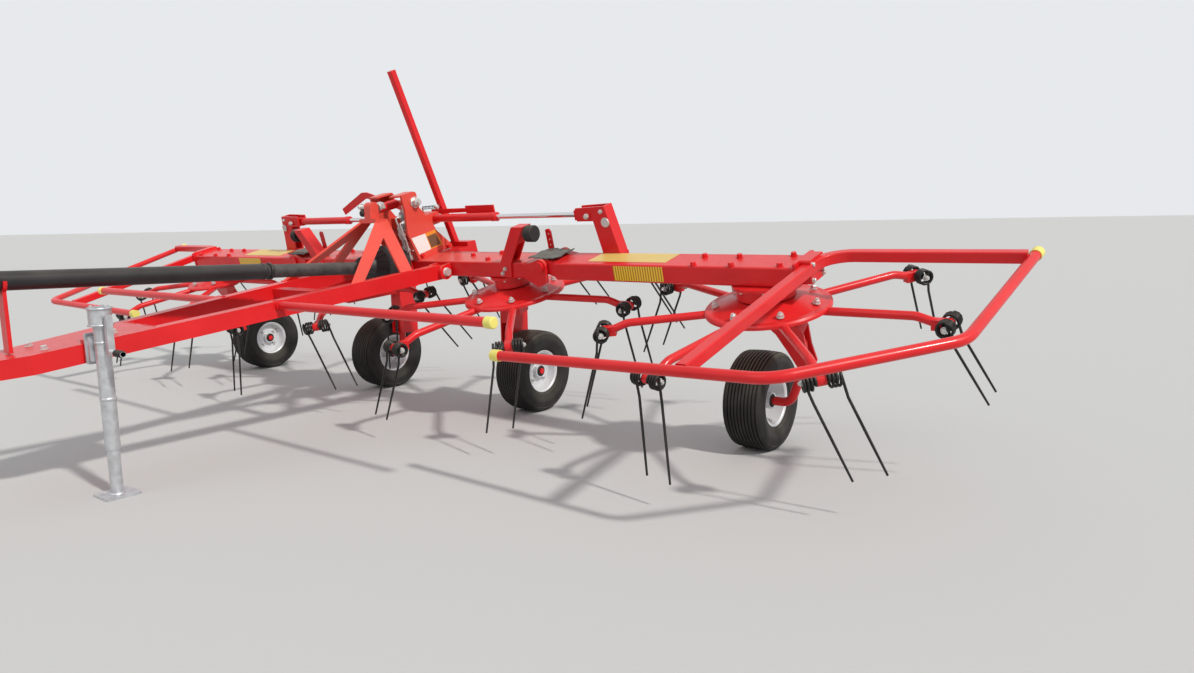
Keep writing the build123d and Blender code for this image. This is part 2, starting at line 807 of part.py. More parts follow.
# Tower: two plates with a window, leaning in from the drawbar beams to the block over the drive shaft
# Feet on the drawbar beams and the top, as X, behind the row, Z
tower_front_foot = back(262.0, -672.0, 675.0)
tower_rear_foot = back(288.0, -330.0, 722.0)
tower_top = back(52.0, -306.0, 963.0)
tower_run = (tower_rear_foot - tower_front_foot).normalized()
tower_plate = Plane(
    origin=tower_front_foot,
    x_dir=tower_run,
    z_dir=tower_run.cross(tower_top - tower_front_foot),
)
feet_apart = (tower_rear_foot - tower_front_foot).length
tower_peak = tower_plate.to_local_coords(tower_top)
block_back = -300.0
block_height = 985.0
with BuildPart() as tower:
    with BuildSketch(tower_plate):
        with BuildLine():
            Polyline(
                (-tower_bar * 0.8, -tower_bar),
                (tower_peak.X - 34, tower_peak.Y),
                (tower_peak.X + 40, tower_peak.Y),
                (feet_apart + tower_bar * 0.6, -tower_bar),
                close=True,
            )
        make_face()
        with BuildLine():
            Polyline(
                (tower_bar * 0.62, -tower_bar - 1),
                (tower_peak.X + 2, tower_peak.Y - tower_window_drop),
                (feet_apart - tower_bar * 0.5, -tower_bar - 1),
                close=True,
            )
        make_face(mode=Mode.SUBTRACT)
    extrude(amount=tower_thick / 2, both=True)
    split(bisect_by=drawbar_plane.offset(drawbar_tall / 2))
    mirror(about=Plane.YZ)
    with BuildSketch(Plane(back(0, block_back, block_height - tower_block / 2))):
        RectangleRounded(2 * tower_top.X + 2 * tower_thick, tower_block, 8)
    extrude(amount=tower_block * 0.6)
    with BuildSketch(Plane(back(-28, block_back, block_height), x_dir=(0, 1, 0), z_dir=(1, 0, 0))):
        with Locations((0, 8)):
            Rectangle(tower_block, 56)
        with Locations((0, tower_pin_up)):
            Circle(tower_block / 2)
        with Locations((0, tower_pin_up)):
            Circle(head_bolt_r, mode=Mode.SUBTRACT)
    extrude(amount=56)
keep(tower.part, "tower")

head_bolt = row_point(0, head_bolt_y, head_bolt_height)
link_front = back(0, block_back + tower_block / 2, block_height + tower_pin_up)
link_run = Vector(*head_bolt) - link_front
link_front = link_front + Vector(0, seat_gap + link_d / 2 * link_run.Z / link_run.Y, 0)
link_run = Vector(*head_bolt) - link_front
link_end = link_front + link_run.normalized() * (link_run.length - head_bolt_r - seat_gap)
keep(rod(link_front, link_end, link_d), "top_link")

# Inner guards with their end caps, and the mast
inner_tube = rod(
    back(inner_guard_start, inner_guard_back, inner_guard_height),
    back(inner_guard_end, inner_guard_back, inner_guard_height),
    guard_d,
)
with BuildPart() as inner_guards:
    add(inner_tube)
    mirror(about=Plane.YZ)
keep(inner_guards.part, "guards_inner")


def end_cap(end, before):
    """A round plastic cap that closes the end of a guard tube."""
    with BuildPart() as cap:
        with BuildSketch(aim(end, Vector(*end) * 2 - Vector(*before))):
            Circle(guard_d / 2 + cap_wall)
        extrude(amount=cap_long)
        fillet(cap.edges().sort_by(Axis.X)[-1], 6)
    return cap.part


inner_cap = end_cap(
    back(inner_guard_end, inner_guard_back, inner_guard_height),
    back(inner_guard_start, inner_guard_back, inner_guard_height),
)
with BuildPart() as inner_caps:
    add(inner_cap)
    mirror(about=Plane.YZ)
keep(inner_caps.part, "guard_caps_inner")

mast_low = back(mast_x, *mast_foot)
mast_high = back(mast_x, *mast_top)
mast_run = mast_high - mast_low
mast_local = row.to_local_coords(mast_low)
with BuildPart() as mast:
    with BuildSketch(Plane(origin=mast_low, x_dir=(1, 0, 0), z_dir=mast_run.normalized())):
        RectangleRounded(mast_side, mast_side, 5)
    extrude(amount=mast_run.length)
    with BuildSketch(row_side(mast_x - 20)):
        with BuildLine():
            Polyline(
                (beam_rear, beam_low + 12),
                (beam_rear, beam_top - 4),
                (mast_local.Y - 34, beam_top - 4),
                (mast_local.Y - 34, beam_top + 20),
                (mast_local.Y + 26, beam_top + 10),
                (mast_local.Y + 26, beam_low + 12),
                close=True,
            )
        make_face()
    extrude(amount=mast_bracket_wide)
keep(mast.part, "mast")

# Drive shaft: bell over the joint at the gearbox, two guard tubes and the free yoke
with BuildPart() as shaft_bell:
    with BuildSketch(Plane(origin=shaft_plane.origin, x_dir=(1, 0, 0), z_dir=-shaft_plane.y_dir)) as bell:
        with BuildLine():
            Polyline(
                (rear_tube_d / 2, bell_front),
                (48, bell_front),
                (shaft_bell_r - 14, 60),
                (shaft_bell_r, 50),
                (shaft_bell_r, -bell_skirt),
                (shaft_bell_r - bell_wall, -bell_skirt),
                (shaft_bell_r - bell_wall, 44),
                (shaft_bell_r - 20, 54),
                (42, bell_front - 10),
                (rear_tube_d / 2, bell_front - 10),
                close=True,
            )
        make_face()
    revolve(axis=Axis(shaft_plane.origin, shaft_plane.z_dir))
keep(shaft_bell.part, "shaft_bell")

with BuildPart() as shaft_tube_rear:
    with BuildSketch(shaft_plane.offset(40)):
        Circle(rear_tube_d / 2 - seat_gap)
    extrude(amount=tube_step - 40)
keep(shaft_tube_rear.part, "shaft_tube_rear")

with BuildPart() as shaft_tube_front:
    with BuildSketch(shaft_plane.offset(tube_step)):
        Circle(front_tube_d / 2)
    extrude(amount=front_tube_end - tube_step)
    with BuildSketch(shaft_plane.offset(front_tube_end)):
        Circle(front_tube_d / 2 + tube_collar_wall)
    extrude(amount=tube_collar_long)
keep(shaft_tube_front.part, "shaft_tube_front")

yoke_start = front_tube_end + tube_collar_long
with BuildPart() as shaft_yoke:
    with BuildSketch(shaft_plane.offset(yoke_start)):
        Circle(yoke_r)
    extrude(amount=yoke_long)
    with BuildSketch(shaft_plane.offset(yoke_start + yoke_long - yoke_bore_deep)):
        Circle(yoke_bore_r)
    extrude(amount=yoke_bore_deep, mode=Mode.SUBTRACT)
keep(shaft_yoke.part, "shaft_yoke")
print("yoke mouth", shaft_plane.from_local_coords((0, 0, yoke_start + yoke_long)))

# Rest that holds the drive shaft's front over the drawbar's nose
rest_along = drawbar_long - 55
rest_top = shaft_plane.from_local_coords((0, 0, rest_along))
rest_low = drawbar_plane.to_local_coords(rest_top)
rest_seat = drawbar_point(0, rest_low.Y, drawbar_tall / 2)
with BuildPart() as shaft_rest:
    with BuildSketch(Plane(origin=(0, rest_top.Y + 6, 0), x_dir=(1, 0, 0), z_dir=(0, -1, 0))):
        with Locations((0, (rest_seat.Z + rest_top.Z) / 2)):
            Rectangle(50, rest_top.Z - rest_seat.Z)
        with Locations((0, rest_top.Z)):
            Circle(front_tube_d / 2 + 10)
            Circle(front_tube_d / 2 + seat_gap, mode=Mode.SUBTRACT)
        with Locations((0, rest_top.Z + 80)):
            Rectangle(160, 160, mode=Mode.SUBTRACT)
    extrude(amount=12)
keep(shaft_rest.part, "shaft_rest")

# Cylinders: a hollow barrel with its gland, and a rod with an eye
barrel_end = headstock_x + barrel_long


def barrel(closed_x, open_x, side):
    """A cylinder barrel along X between its closed end and its gland."""
    way = 1 if open_x > closed_x else -1
    long = abs(open_x - closed_x)
    with BuildPart() as tube:
        with BuildSketch(row_side(side * closed_x)):
            with Locations((cylinder_y, cylinder_height)):
                Circle(barrel_r)
        extrude(amount=side * way * long)
        with BuildSketch(row_side(side * open_x)):
            with Locations((cylinder_y, cylinder_height)):
                Circle(gland_r)
        extrude(amount=-side * way * gland_long)
        with BuildSketch(row_side(side * (closed_x + way * 20))):
            with Locations((cylinder_y, cylinder_height)):
                Circle(barrel_r - barrel_wall)
        extrude(amount=side * way * (long - 20 - gland_long), mode=Mode.SUBTRACT)
        with BuildSketch(row_side(side * open_x)):
            with Locations((cylinder_y, cylinder_height)):
                Circle(rod_r + pin_gap)
        extrude(amount=-side * way * gland_long, mode=Mode.SUBTRACT)
    return tube.part


def cylinder_rod(inside_x, eye_x, side):
    """A cylinder rod along X from inside its barrel to the neck of its eye."""
    way = 1 if eye_x > inside_x else -1
    with BuildPart() as bar:
        with BuildSketch(row_side(side * inside_x)):
            with Locations((cylinder_y, cylinder_height)):
                Circle(rod_r)
        extrude(amount=side * way * abs(eye_x - inside_x))
    return bar.part


def wing_eye(side):
    """The eye at the wing end of a cylinder, with the bore for the wing's pin."""
    with BuildPart() as eye:
        with BuildSketch(row_face(cylinder_y + eye_thick / 2)):
            with Locations((side * cylinder_pin_x, cylinder_height)):
                Circle(eye_r)
            with Locations((side * (cylinder_pin_x - 42), cylinder_height)):
                Rectangle(84, 44)
            with Locations((side * cylinder_pin_x, cylinder_height)):
                Circle(cylinder_pin_r + 0.5, mode=Mode.SUBTRACT)
        extrude(amount=eye_thick)
    return eye.part


eye_neck = cylinder_pin_x - 84
with BuildPart() as barrel_left:
    add(barrel(headstock_x + seat_gap, barrel_end, 1))
keep(barrel_left.part, "cylinder_barrel_left")
with BuildPart() as rod_left:
    add(cylinder_rod(barrel_end - 50, eye_neck, 1))
    add(wing_eye(1))
keep(rod_left.part, "cylinder_rod_left")
barrel_right_end = eye_neck - barrel_long
with BuildPart() as barrel_right:
    add(barrel(eye_neck, barrel_right_end, -1))
    add(wing_eye(-1))
keep(barrel_right.part, "cylinder_barrel_right")
with BuildPart() as rod_right:
    add(cylinder_rod(barrel_right_end + 50, headstock_x + seat_gap, -1))
keep(rod_right.part, "cylinder_rod_right")

# Lock hooks on the anchor's rear: the left one down, the right one raised
hook_thick = 8.0
hook_y = anchor_rear + 10
hook_outlines = (
    # side, outline in X and the row's height
    (1, ((50, 352), (300, 356), (300, 348), (492, 348), (492, 388), (300, 388), (300, 376), (50, 376))),
    (-1, ((50, 340), (50, 366), (440, 482), (482, 482), (690, 396), (676, 362), (462, 446), (440, 448))),
)
with BuildPart() as lock_hooks:
    for side, outline in hook_outlines:
        with BuildSketch(row_face(hook_y + hook_thick)):
            with BuildLine():
                Polyline(*[(side * x, height) for x, height in outline], close=True)
            make_face()
        extrude(amount=hook_thick)
        with BuildSketch(row_face(hook_y)):
            with Locations((side * 66, 356)):
                Circle(hook_pivot_r)
        extrude(amount=hook_y - anchor_rear)
keep(lock_hooks.part, "lock_hooks")

# Valve block inside the left headstock plate
with BuildPart() as valve_block:
    with BuildSketch(row_side(headstock_x)):
        with Locations((-60, 370)):
            RectangleRounded(44, 96, 5)
    extrude(amount=-46)
keep(valve_block.part, "valve_block")

# Wing beam with the fold knuckle, end plate and cylinder bracket
bracket_outline = ((1048, 374), (1206, 380), (1252, beam_top), (1162, beam_top), (1136, 316), (1048, 316))
bracket_web = ((1196, 380), (1206, 380), (1252, beam_top), (1242, beam_top))
bracket_near = cylinder_y - bracket_gap / 2
bracket_far = cylinder_y + bracket_gap / 2
with BuildPart() as wing_beam:
    with BuildSketch(row_side(wing_beam_start)):
        with Locations((0, beam_low + beam_tall / 2)):
            RectangleRounded(beam_depth, beam_tall, beam_round)
    extrude(amount=wing_beam_end - wing_beam_start)
    with BuildSketch(row_face(beam_rear - knuckle_gap)):
        with BuildLine():
            Polyline(
                (hinge_x, hinge_height + hinge_eye_r),
                (wing_beam_start + 20, beam_top),
                (wing_beam_start + 20, beam_low),
                (hinge_x, hinge_height - hinge_eye_r),
                close=True,
            )
        make_face()
        with Locations((hinge_x, hinge_height)):
            Circle(hinge_eye_r)
    extrude(amount=beam_depth - 2 * knuckle_gap)
    with BuildSketch(row_face(beam_rear)):
        with Locations((hinge_x, hinge_height)):
            Circle(hinge_pin_r + pin_gap)
    extrude(amount=beam_depth, mode=Mode.SUBTRACT)
    for plate_y in (bracket_near, bracket_far + bracket_thick):
        with BuildSketch(row_face(plate_y)):
            with BuildLine():
                Polyline(*bracket_outline, close=True)
            make_face()
        extrude(amount=bracket_thick)
    with BuildSketch(row_face(bracket_far)):
        with BuildLine():
            Polyline(*bracket_web, close=True)
        make_face()
    extrude(amount=bracket_gap)
    with BuildSketch(row_face(bracket_far + bracket_thick)):
        with Locations((1208, beam_top - 24)):
            Rectangle(96, 48)
    extrude(amount=bracket_far + bracket_thick - beam_rear + 8)
    for head_y in (bracket_near - bracket_thick, bracket_far + bracket_thick + pin_cap):
        with BuildSketch(row_face(head_y)):
            with Locations((cylinder_pin_x, cylinder_height)):
                Circle(pin_cap_r)
        extrude(amount=pin_cap)
    with BuildSketch(row_side(wing_beam_end)):
        with Locations((0, beam_low + end_plate_tall / 2)):
            RectangleRounded(beam_depth + 10, end_plate_tall, beam_round)
    extrude(amount=end_plate_thick)
keep_pair(wing_beam.part, "wing_beam")

# Outer guard: the long tube round the rotor, and the square brace from the beam's end
guard_inner_end = back(guard_inner_x, guard_inner_back, guard_inner_z)
guard_front_bend = back(guard_front_x, guard_front_back, guard_front_z)
guard_side_bend = back(guard_side_x, guard_side_back, guard_side_z)
guard_rear_end = back(guard_rear_x, guard_rear_back, guard_rear_z)
brace_foot = back(brace_low_x, brace_low_back, brace_low_z)
brace_bend = back(brace_high_x, brace_high_back, brace_high_z)
brace_end = back(guard_rear_x - 16, guard_rear_back - 34, brace_high_z)
outer_guard_tube = bent_tube(
    (guard_inner_end, guard_front_bend, guard_side_bend, guard_rear_end), guard_bend, guard_d
)
outer_brace = square_tube((brace_foot, brace_bend, brace_end), guard_bend, brace_side)
with BuildPart() as outer_guard:
    add(outer_guard_tube)
    add(outer_brace)
    with BuildSketch(row_side(wing_beam_end + end_plate_thick)):
        with Locations((10, beam_low + end_plate_tall / 2 + 2)):
            RectangleRounded(120, end_plate_tall - 4, beam_round)
    extrude(amount=40)
keep_pair(outer_guard.part, "guard_outer")

with BuildPart() as outer_caps:
    with BuildSketch(aim(guard_inner_end, guard_inner_end * 2 - guard_front_bend)):
        Circle(guard_d / 2 + cap_wall)
    extrude(amount=cap_long)
    with BuildSketch(aim(guard_rear_end, guard_rear_end * 2 - guard_side_bend)):
        Circle(guard_d / 2 + cap_wall)
    extrude(amount=cap_long)
keep_pair(outer_caps.part, "guard_caps_outer")


def polar(radius, angle, height=0.0):
    """A point round a rotor's axis, in the rotor's own axes."""
    return (radius * cos(radians(angle)), radius * sin(radians(angle)), height)


def rotor(x):
    """Dish, bearing boss and the bent arms with their clamps."""
    deck = row_at(x)
    arms = []
    for number in range(arm_count):
        angle = arm_phase + number * 360 / arm_count
        points = (
            deck.from_local_coords(polar(boss_r - 10, angle, arm_drop)),
            deck.from_local_coords(polar(arm_bend_r, angle, arm_drop)),
            deck.from_local_coords(polar(arm_tip_r, angle, arm_tip_drop)),
        )
        arms.append(bent_tube(points, arm_bend, arm_d))
    with BuildPart() as body:
        with BuildSketch(Plane(origin=deck.origin, x_dir=deck.x_dir, z_dir=-deck.y_dir)):
            with BuildLine():
                Polyline(
                    (axle_r + pin_gap, boss_low),
                    (boss_r, boss_low),
                    (boss_r, dish_rise - dish_thick),
                    (dish_crown_r, dish_rise - dish_thick),
                    (dish_r - 2 * dish_lip, -dish_thick / 2),
                    (dish_r - dish_thick - 4, -dish_thick / 2),
                    (dish_r - dish_thick, -dish_lip),
                    (dish_r, -dish_lip),
                    (dish_r, -4),
                    (dish_r - 6, dish_thick / 2),
                    (dish_r - 2 * dish_lip, dish_thick / 2),
                    (dish_crown_r, dish_rise),
                    (axle_r + pin_gap, dish_rise),
                    close=True,
                )
            make_face()
        revolve(axis=Axis(deck.origin, deck.z_dir))
        for arm in arms:
            add(arm)
        for number in range(arm_count):
            angle = arm_phase + number * 360 / arm_count
            across = deck.from_local_coords(polar(1, angle + 90)) - deck.origin
            outward = deck.from_local_coords(polar(1, angle)) - deck.origin
            coil_centre = deck.from_local_coords(polar(coil_centre_r, angle, coil_drop))
            clamp_face = coil_centre - across * clamp_thick / 2
            with BuildSketch(Plane(origin=clamp_face, x_dir=outward, z_dir=across)):
                with Locations(((clamp_start_r - coil_centre_r) / 2, 0)):
                    Rectangle(coil_centre_r - clamp_start_r, clamp_tall)
                Circle(clamp_tall / 2)
                Circle(core_r + pin_gap, mode=Mode.SUBTRACT)
            extrude(amount=clamp_thick)
    return body.part


def tines(x, trail):
    """Twin tines: a coil across each arm's tip and two legs, trailing to one side."""
    deck = row_at(x)
    leg_offset = coil_long / 2 - tine_d
    with BuildPart() as set_of_tines:
        for number in range(arm_count):
            angle = arm_phase + number * 360 / arm_count
            centre = deck.from_local_coords(polar(coil_centre_r, angle, coil_drop))
            across = deck.from_local_coords(polar(1, angle + 90)) - deck.origin
            with BuildSketch(Plane(origin=centre, z_dir=across)):
                Circle(core_r)
            extrude(amount=coil_long / 2, both=True)
            for way in (across, -across):
                with BuildSketch(Plane(origin=centre + way * (clamp_thick / 2 + seat_gap), z_dir=way)):
                    Circle(coil_r)
                extrude(amount=(coil_long - clamp_thick) / 2 - seat_gap)
            tip = deck.from_local_coords(polar(tine_tip_r, angle, tine_tip_drop)) + across * trail
            for offset in (leg_offset, -leg_offset):
                leg_start = centre + across * offset
                leg_end = tip + across * offset
                with BuildSketch(aim(leg_start, leg_end)):
                    Circle(tine_d / 2)
                extrude(amount=(leg_end - leg_start).length)
    return set_of_tines.part


# Rotors in pairs that turn opposite ways, so their tines trail opposite ways
rotor_table = (
    # name, x, trail
    ("outer_left", outer_rotor_x, tine_trail),
    ("inner_left", inner_rotor_x, -tine_trail),
    ("inner_right", -inner_rotor_x, tine_trail),
    ("outer_right", -outer_rotor_x, -tine_trail),
)
for name, x, trail in rotor_table:
    keep(rotor(x), f"rotor_{name}")
    keep(tines(x, trail), f"tines_{name}")


def tyre(x, y):
    """A ribbed tyre round an axis along X."""
    half = tyre_width / 2
    with BuildPart() as ring:
        with BuildSketch(Plane(origin=back(x, y, tyre_r), x_dir=(1, 0, 0), z_dir=(0, -1, 0))):
            with BuildLine():
                Polyline(
                    (-rim_width / 2 + 6, bead_r),
                    (-rim_width / 2 - 2, bead_r + 4),
                    (-half, bead_r + 44),
                    (-half + 4, tyre_r - 20),
                    (-half + 22, tyre_r),
                    (half - 22, tyre_r),
                    (half - 4, tyre_r - 20),
                    (half, bead_r + 44),
                    (rim_width / 2 + 2, bead_r + 4),
                    (rim_width / 2 - 6, bead_r),
                    close=True,
                )
            make_face()
        revolve(axis=Axis(back(x, y, tyre_r), (1, 0, 0)))
    return ring.part


def wheel_rim(x, y, dish_side):
    """A pressed rim with its centre disc and hub, the disc set to one side."""
    half = rim_width / 2
    disc = dish_side * rim_dish_x
    seat_r = bead_r - seat_gap
    hub_half = wheel_hub_long / 2
    with BuildPart() as rim:
        with BuildSketch(Plane(origin=back(x, y, tyre_r), x_dir=(1, 0, 0), z_dir=(0, -1, 0))):
            with BuildLine():
                Polyline(
                    (-half + 6, seat_r),
                    (-half + 6, seat_r - rim_wall - 6),
                    (disc - rim_wall, seat_r - rim_wall - 18),
                    (disc - rim_wall, wheel_hub_r),
                    (-hub_half, wheel_hub_r),
                    (-hub_half, spindle_r + pin_gap),
                    (hub_half, spindle_r + pin_gap),
                    (hub_half, wheel_hub_r),
                    (disc + rim_wall, wheel_hub_r),
                    (disc + rim_wall, seat_r - rim_wall - 18),
                    (half - 6, seat_r - rim_wall - 6),
                    (half - 6, seat_r),
                    close=True,
                )
            make_face()
        revolve(axis=Axis(back(x, y, tyre_r), (1, 0, 0)))
    return rim.part


keep_pair(tyre(outer_wheel_x, outer_wheel_back), "tyre_outer")
keep_pair(wheel_rim(outer_wheel_x, outer_wheel_back, -1), "rim_outer")
keep_pair(tyre(inner_wheel_x, inner_wheel_back), "tyre_inner")
keep_pair(wheel_rim(inner_wheel_x, inner_wheel_back, 1), "rim_inner")

# Parking jack: mount on the drawbar, outer tube with its head, inner leg and crank
with BuildPart() as jack_mount:
    with BuildSketch(Plane(back(jack_plate_x, jack_back, jack_height), z_dir=(-1, 0, 0))):
        RectangleRounded(110, 80, 8)
    extrude(amount=jack_plate_thick)
    with BuildSketch(Plane(back(jack_plate_x, jack_back, jack_height), z_dir=(1, 0, 0))):
        Circle(jack_spigot_r)
    extrude(amount=jack_x - jack_tube_r - seat_gap - jack_plate_x)
keep(jack_mount.part, "jack_mount")

with BuildPart() as jack_tube:
    with BuildSketch(Plane(back(jack_x, jack_back, jack_height - jack_below))):
        Circle(jack_tube_r)
    extrude(amount=jack_below + jack_above)
    with BuildSketch(Plane(back(jack_x, jack_back, jack_height + jack_above))):
        Circle(jack_head_r)
    extrude(amount=jack_head_tall)
    with BuildSketch(Plane(back(jack_plate_x + seat_gap, jack_back, jack_height), z_dir=(1, 0, 0))):
        RectangleRounded(90, 70, 8)
        Circle(jack_spigot_r + pin_gap, mode=Mode.SUBTRACT)
    extrude(amount=20)
    with BuildSketch(Plane(back(jack_x, jack_back, jack_height - jack_below))):
        Circle(jack_bore_r)
    extrude(amount=jack_below + jack_above - 20, mode=Mode.SUBTRACT)
keep(jack_tube.part, "jack_tube")

with BuildPart() as jack_leg:
    with BuildSketch(Plane(back(jack_x, jack_back, jack_foot_thick))):
        Circle(jack_bore_r - seat_gap)
    extrude(amount=jack_height - jack_leg_top - jack_foot_thick)
    with BuildSketch(Plane(back(jack_x, jack_back, 0))):
        RectangleRounded(jack_foot, jack_foot, 14)
    extrude(amount=jack_foot_thick)
keep(jack_leg.part, "jack_leg")

crank_height = jack_height + jack_above + jack_head_tall / 2
crank_x = jack_x + jack_head_r + crank_arm_out
with BuildPart() as jack_crank:
    with BuildSketch(Plane(back(jack_x + jack_head_r, jack_back, crank_height), z_dir=(1, 0, 0))):
        Circle(crank_d / 2)
    extrude(amount=crank_arm_out + crank_d / 2)
    with BuildSketch(Plane(back(crank_x, jack_back, crank_height + 8), z_dir=(0, 0, -1))):
        Rectangle(crank_d, 22)
    extrude(amount=crank_long)
    with BuildSketch(Plane(back(crank_x, jack_back, crank_height - crank_long + 18), z_dir=(1, 0, 0))):
        Circle(crank_d / 2 + 3)
    extrude(amount=crank_grip_long)
keep(jack_crank.part, "jack_crank")
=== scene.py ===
import json
from math import cos, pi, radians, sin, tau

import bpy
from mathutils import Matrix, Vector
from mathutils.noise import noise


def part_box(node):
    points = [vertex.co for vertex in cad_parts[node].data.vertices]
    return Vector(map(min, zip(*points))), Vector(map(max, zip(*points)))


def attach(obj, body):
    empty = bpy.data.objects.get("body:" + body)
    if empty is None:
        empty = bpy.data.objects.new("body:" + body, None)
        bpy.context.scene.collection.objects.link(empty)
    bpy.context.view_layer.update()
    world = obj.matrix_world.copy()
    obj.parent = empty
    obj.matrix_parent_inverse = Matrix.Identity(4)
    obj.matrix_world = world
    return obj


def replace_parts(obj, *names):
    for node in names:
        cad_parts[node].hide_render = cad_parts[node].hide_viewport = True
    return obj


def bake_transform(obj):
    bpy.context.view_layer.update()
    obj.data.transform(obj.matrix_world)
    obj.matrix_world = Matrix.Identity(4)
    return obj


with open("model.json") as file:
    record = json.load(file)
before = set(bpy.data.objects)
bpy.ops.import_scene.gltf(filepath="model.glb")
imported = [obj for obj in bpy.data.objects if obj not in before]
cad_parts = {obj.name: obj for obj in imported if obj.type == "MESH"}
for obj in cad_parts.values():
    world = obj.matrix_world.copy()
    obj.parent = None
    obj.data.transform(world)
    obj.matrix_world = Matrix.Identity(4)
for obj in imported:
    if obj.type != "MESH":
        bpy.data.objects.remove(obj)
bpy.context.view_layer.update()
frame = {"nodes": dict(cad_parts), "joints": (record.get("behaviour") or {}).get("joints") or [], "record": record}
nodes = frame["nodes"]
scene = bpy.context.scene

# The rotor row's plane, as in the solid model. All lengths are in metres.
PLACE = {joint["name"]: Vector(joint["pos_m"]) for joint in frame["joints"] if "pos_m" in joint}
ROW_Y = PLACE["rotor_inner_left_spin"].y
ROW_Z = PLACE["rotor_inner_left_spin"].z
LEAN = radians(15.0)
UP = Vector((0, -sin(LEAN), cos(LEAN)))
REAR = Vector((0, cos(LEAN), sin(LEAN)))
BEAM_TOP = 0.172  # top of the beams above the row's plane
SIDES = (("left", 1), ("right", -1))
ALONG_X = Vector((1, 0, 0))
ALONG_Z = Vector((0, 0, 1))


def row(x, y, n):
    """A point in the row's own axes: X, rearward and up, in metres."""
    return Vector((x, ROW_Y, ROW_Z)) + REAR * y + UP * n


def back(x, y, z):
    """A point behind the row by y."""
    return Vector((x, ROW_Y + y, z))


# Materials


def principled(name, color, rough, metal=0.0, coat=0.0):
    mat = bpy.data.materials.new(name)
    mat.use_nodes = True
    tree = mat.node_tree
    shader = tree.nodes["Principled BSDF"]
    shader.inputs["Base Color"].default_value = (*color, 1)
    shader.inputs["Roughness"].default_value = rough
    shader.inputs["Metallic"].default_value = metal
    shader.inputs["Coat Weight"].default_value = coat
    shader.inputs["Coat Roughness"].default_value = 0.10
    shader.inputs["Specular IOR Level"].default_value = 0.3
    return mat, tree, shader


def noise_node(tree, scale, detail, rough=0.55):
    place = tree.nodes.new("ShaderNodeTexCoord")
    tex = tree.nodes.new("ShaderNodeTexNoise")
    tex.inputs["Scale"].default_value = scale
    tex.inputs["Detail"].default_value = detail
    tex.inputs["Roughness"].default_value = rough
    tree.links.new(place.outputs["Object"], tex.inputs["Vector"])
    return tex


def ramp(tree, source, low, high):
    """Colours from low to high as the source goes from 0.3 to 0.7."""
    node = tree.nodes.new("ShaderNodeValToRGB")
    for element, place, color in zip(node.color_ramp.elements, (0.3, 0.7), (low, high)):
        element.position = place
        element.color = (*color, 1)
    tree.links.new(source, node.inputs["Fac"])
    return node


def bump(tree, shader, source, strength, distance):
    node = tree.nodes.new("ShaderNodeBump")
    node.inputs["Strength"].default_value = strength
    node.inputs["Distance"].default_value = distance
    tree.links.new(source, node.inputs["Height"])
    tree.links.new(node.outputs["Normal"], shader.inputs["Normal"])


# Pale tone mixed onto upward faces: dust, and where the share is large also a painted sheen
DUST_AND_SHEEN_TONE = (0.62, 0.52, 0.38)


def finish_of(
    name, color, rough, metal=0.0, coat=0.0, vary=0.08, dust_and_sheen=0.0, grain=260.0, relief=0.0004, spots=5.0
):
    """A finish with slight colour drift, dust on what looks up, and a fine grain; where the dust share is large,
    the same pale mix also paints a sheen on top faces.
    """
    mat, tree, shader = principled(name, color, rough, metal, coat)
    drift = noise_node(tree, spots, 4.0)
    low = tuple(c * (1 - vary) for c in color)
    high = tuple(min(1.0, c * (1 + vary) + 0.004) for c in color)
    tone = ramp(tree, drift.outputs["Fac"], low, high)
    colour = tone.outputs["Color"]
    if dust_and_sheen:
        face = tree.nodes.new("ShaderNodeNewGeometry")
        split = tree.nodes.new("ShaderNodeSeparateXYZ")
        tree.links.new(face.outputs["Normal"], split.inputs[0])
        patch = noise_node(tree, 11.0, 6.0, 0.65)
        lift = tree.nodes.new("ShaderNodeMath")
        lift.operation = "MULTIPLY"
        lift.use_clamp = True
        tree.links.new(split.outputs["Z"], lift.inputs[0])
        tree.links.new(patch.outputs["Fac"], lift.inputs[1])
        share = tree.nodes.new("ShaderNodeMath")
        share.operation = "MULTIPLY"
        share.inputs[1].default_value = dust_and_sheen
        tree.links.new(lift.outputs[0], share.inputs[0])
        mix = tree.nodes.new("ShaderNodeMix")
        mix.data_type = "RGBA"
        mix.inputs["B"].default_value = (*DUST_AND_SHEEN_TONE, 1)
        tree.links.new(share.outputs[0], mix.inputs["Factor"])
        tree.links.new(colour, mix.inputs["A"])
        colour = mix.outputs["Result"]
    tree.links.new(colour, shader.inputs["Base Color"])
    wear = noise_node(tree, 38.0, 5.0)
    band = tree.nodes.new("ShaderNodeMapRange")
    band.inputs["To Min"].default_value = max(0.04, rough - 0.07)
    band.inputs["To Max"].default_value = rough + 0.10
    tree.links.new(wear.outputs["Fac"], band.inputs["Value"])
    tree.links.new(band.outputs["Result"], shader.inputs["Roughness"])
    fine = noise_node(tree, grain, 2.0)
    bump(tree, shader, fine.outputs["Fac"], 0.25, relief)
    return mat


RED_TONE = (0.66, 0.009, 0.012)
PAINT = {"rough": 0.34, "coat": 0.14, "vary": 0.07, "grain": 420, "relief": 0.0003}
RED = finish_of("red paint", RED_TONE, dust_and_sheen=0.03, **PAINT)
# Headstock and tower red: faded paint, whose orange is partly a painted sheen of their sunlit faces
FADED_RED_WITH_SHEEN = finish_of("faded red paint with painted sheen", (0.68, 0.066, 0.043), dust_and_sheen=0.03, **PAINT)
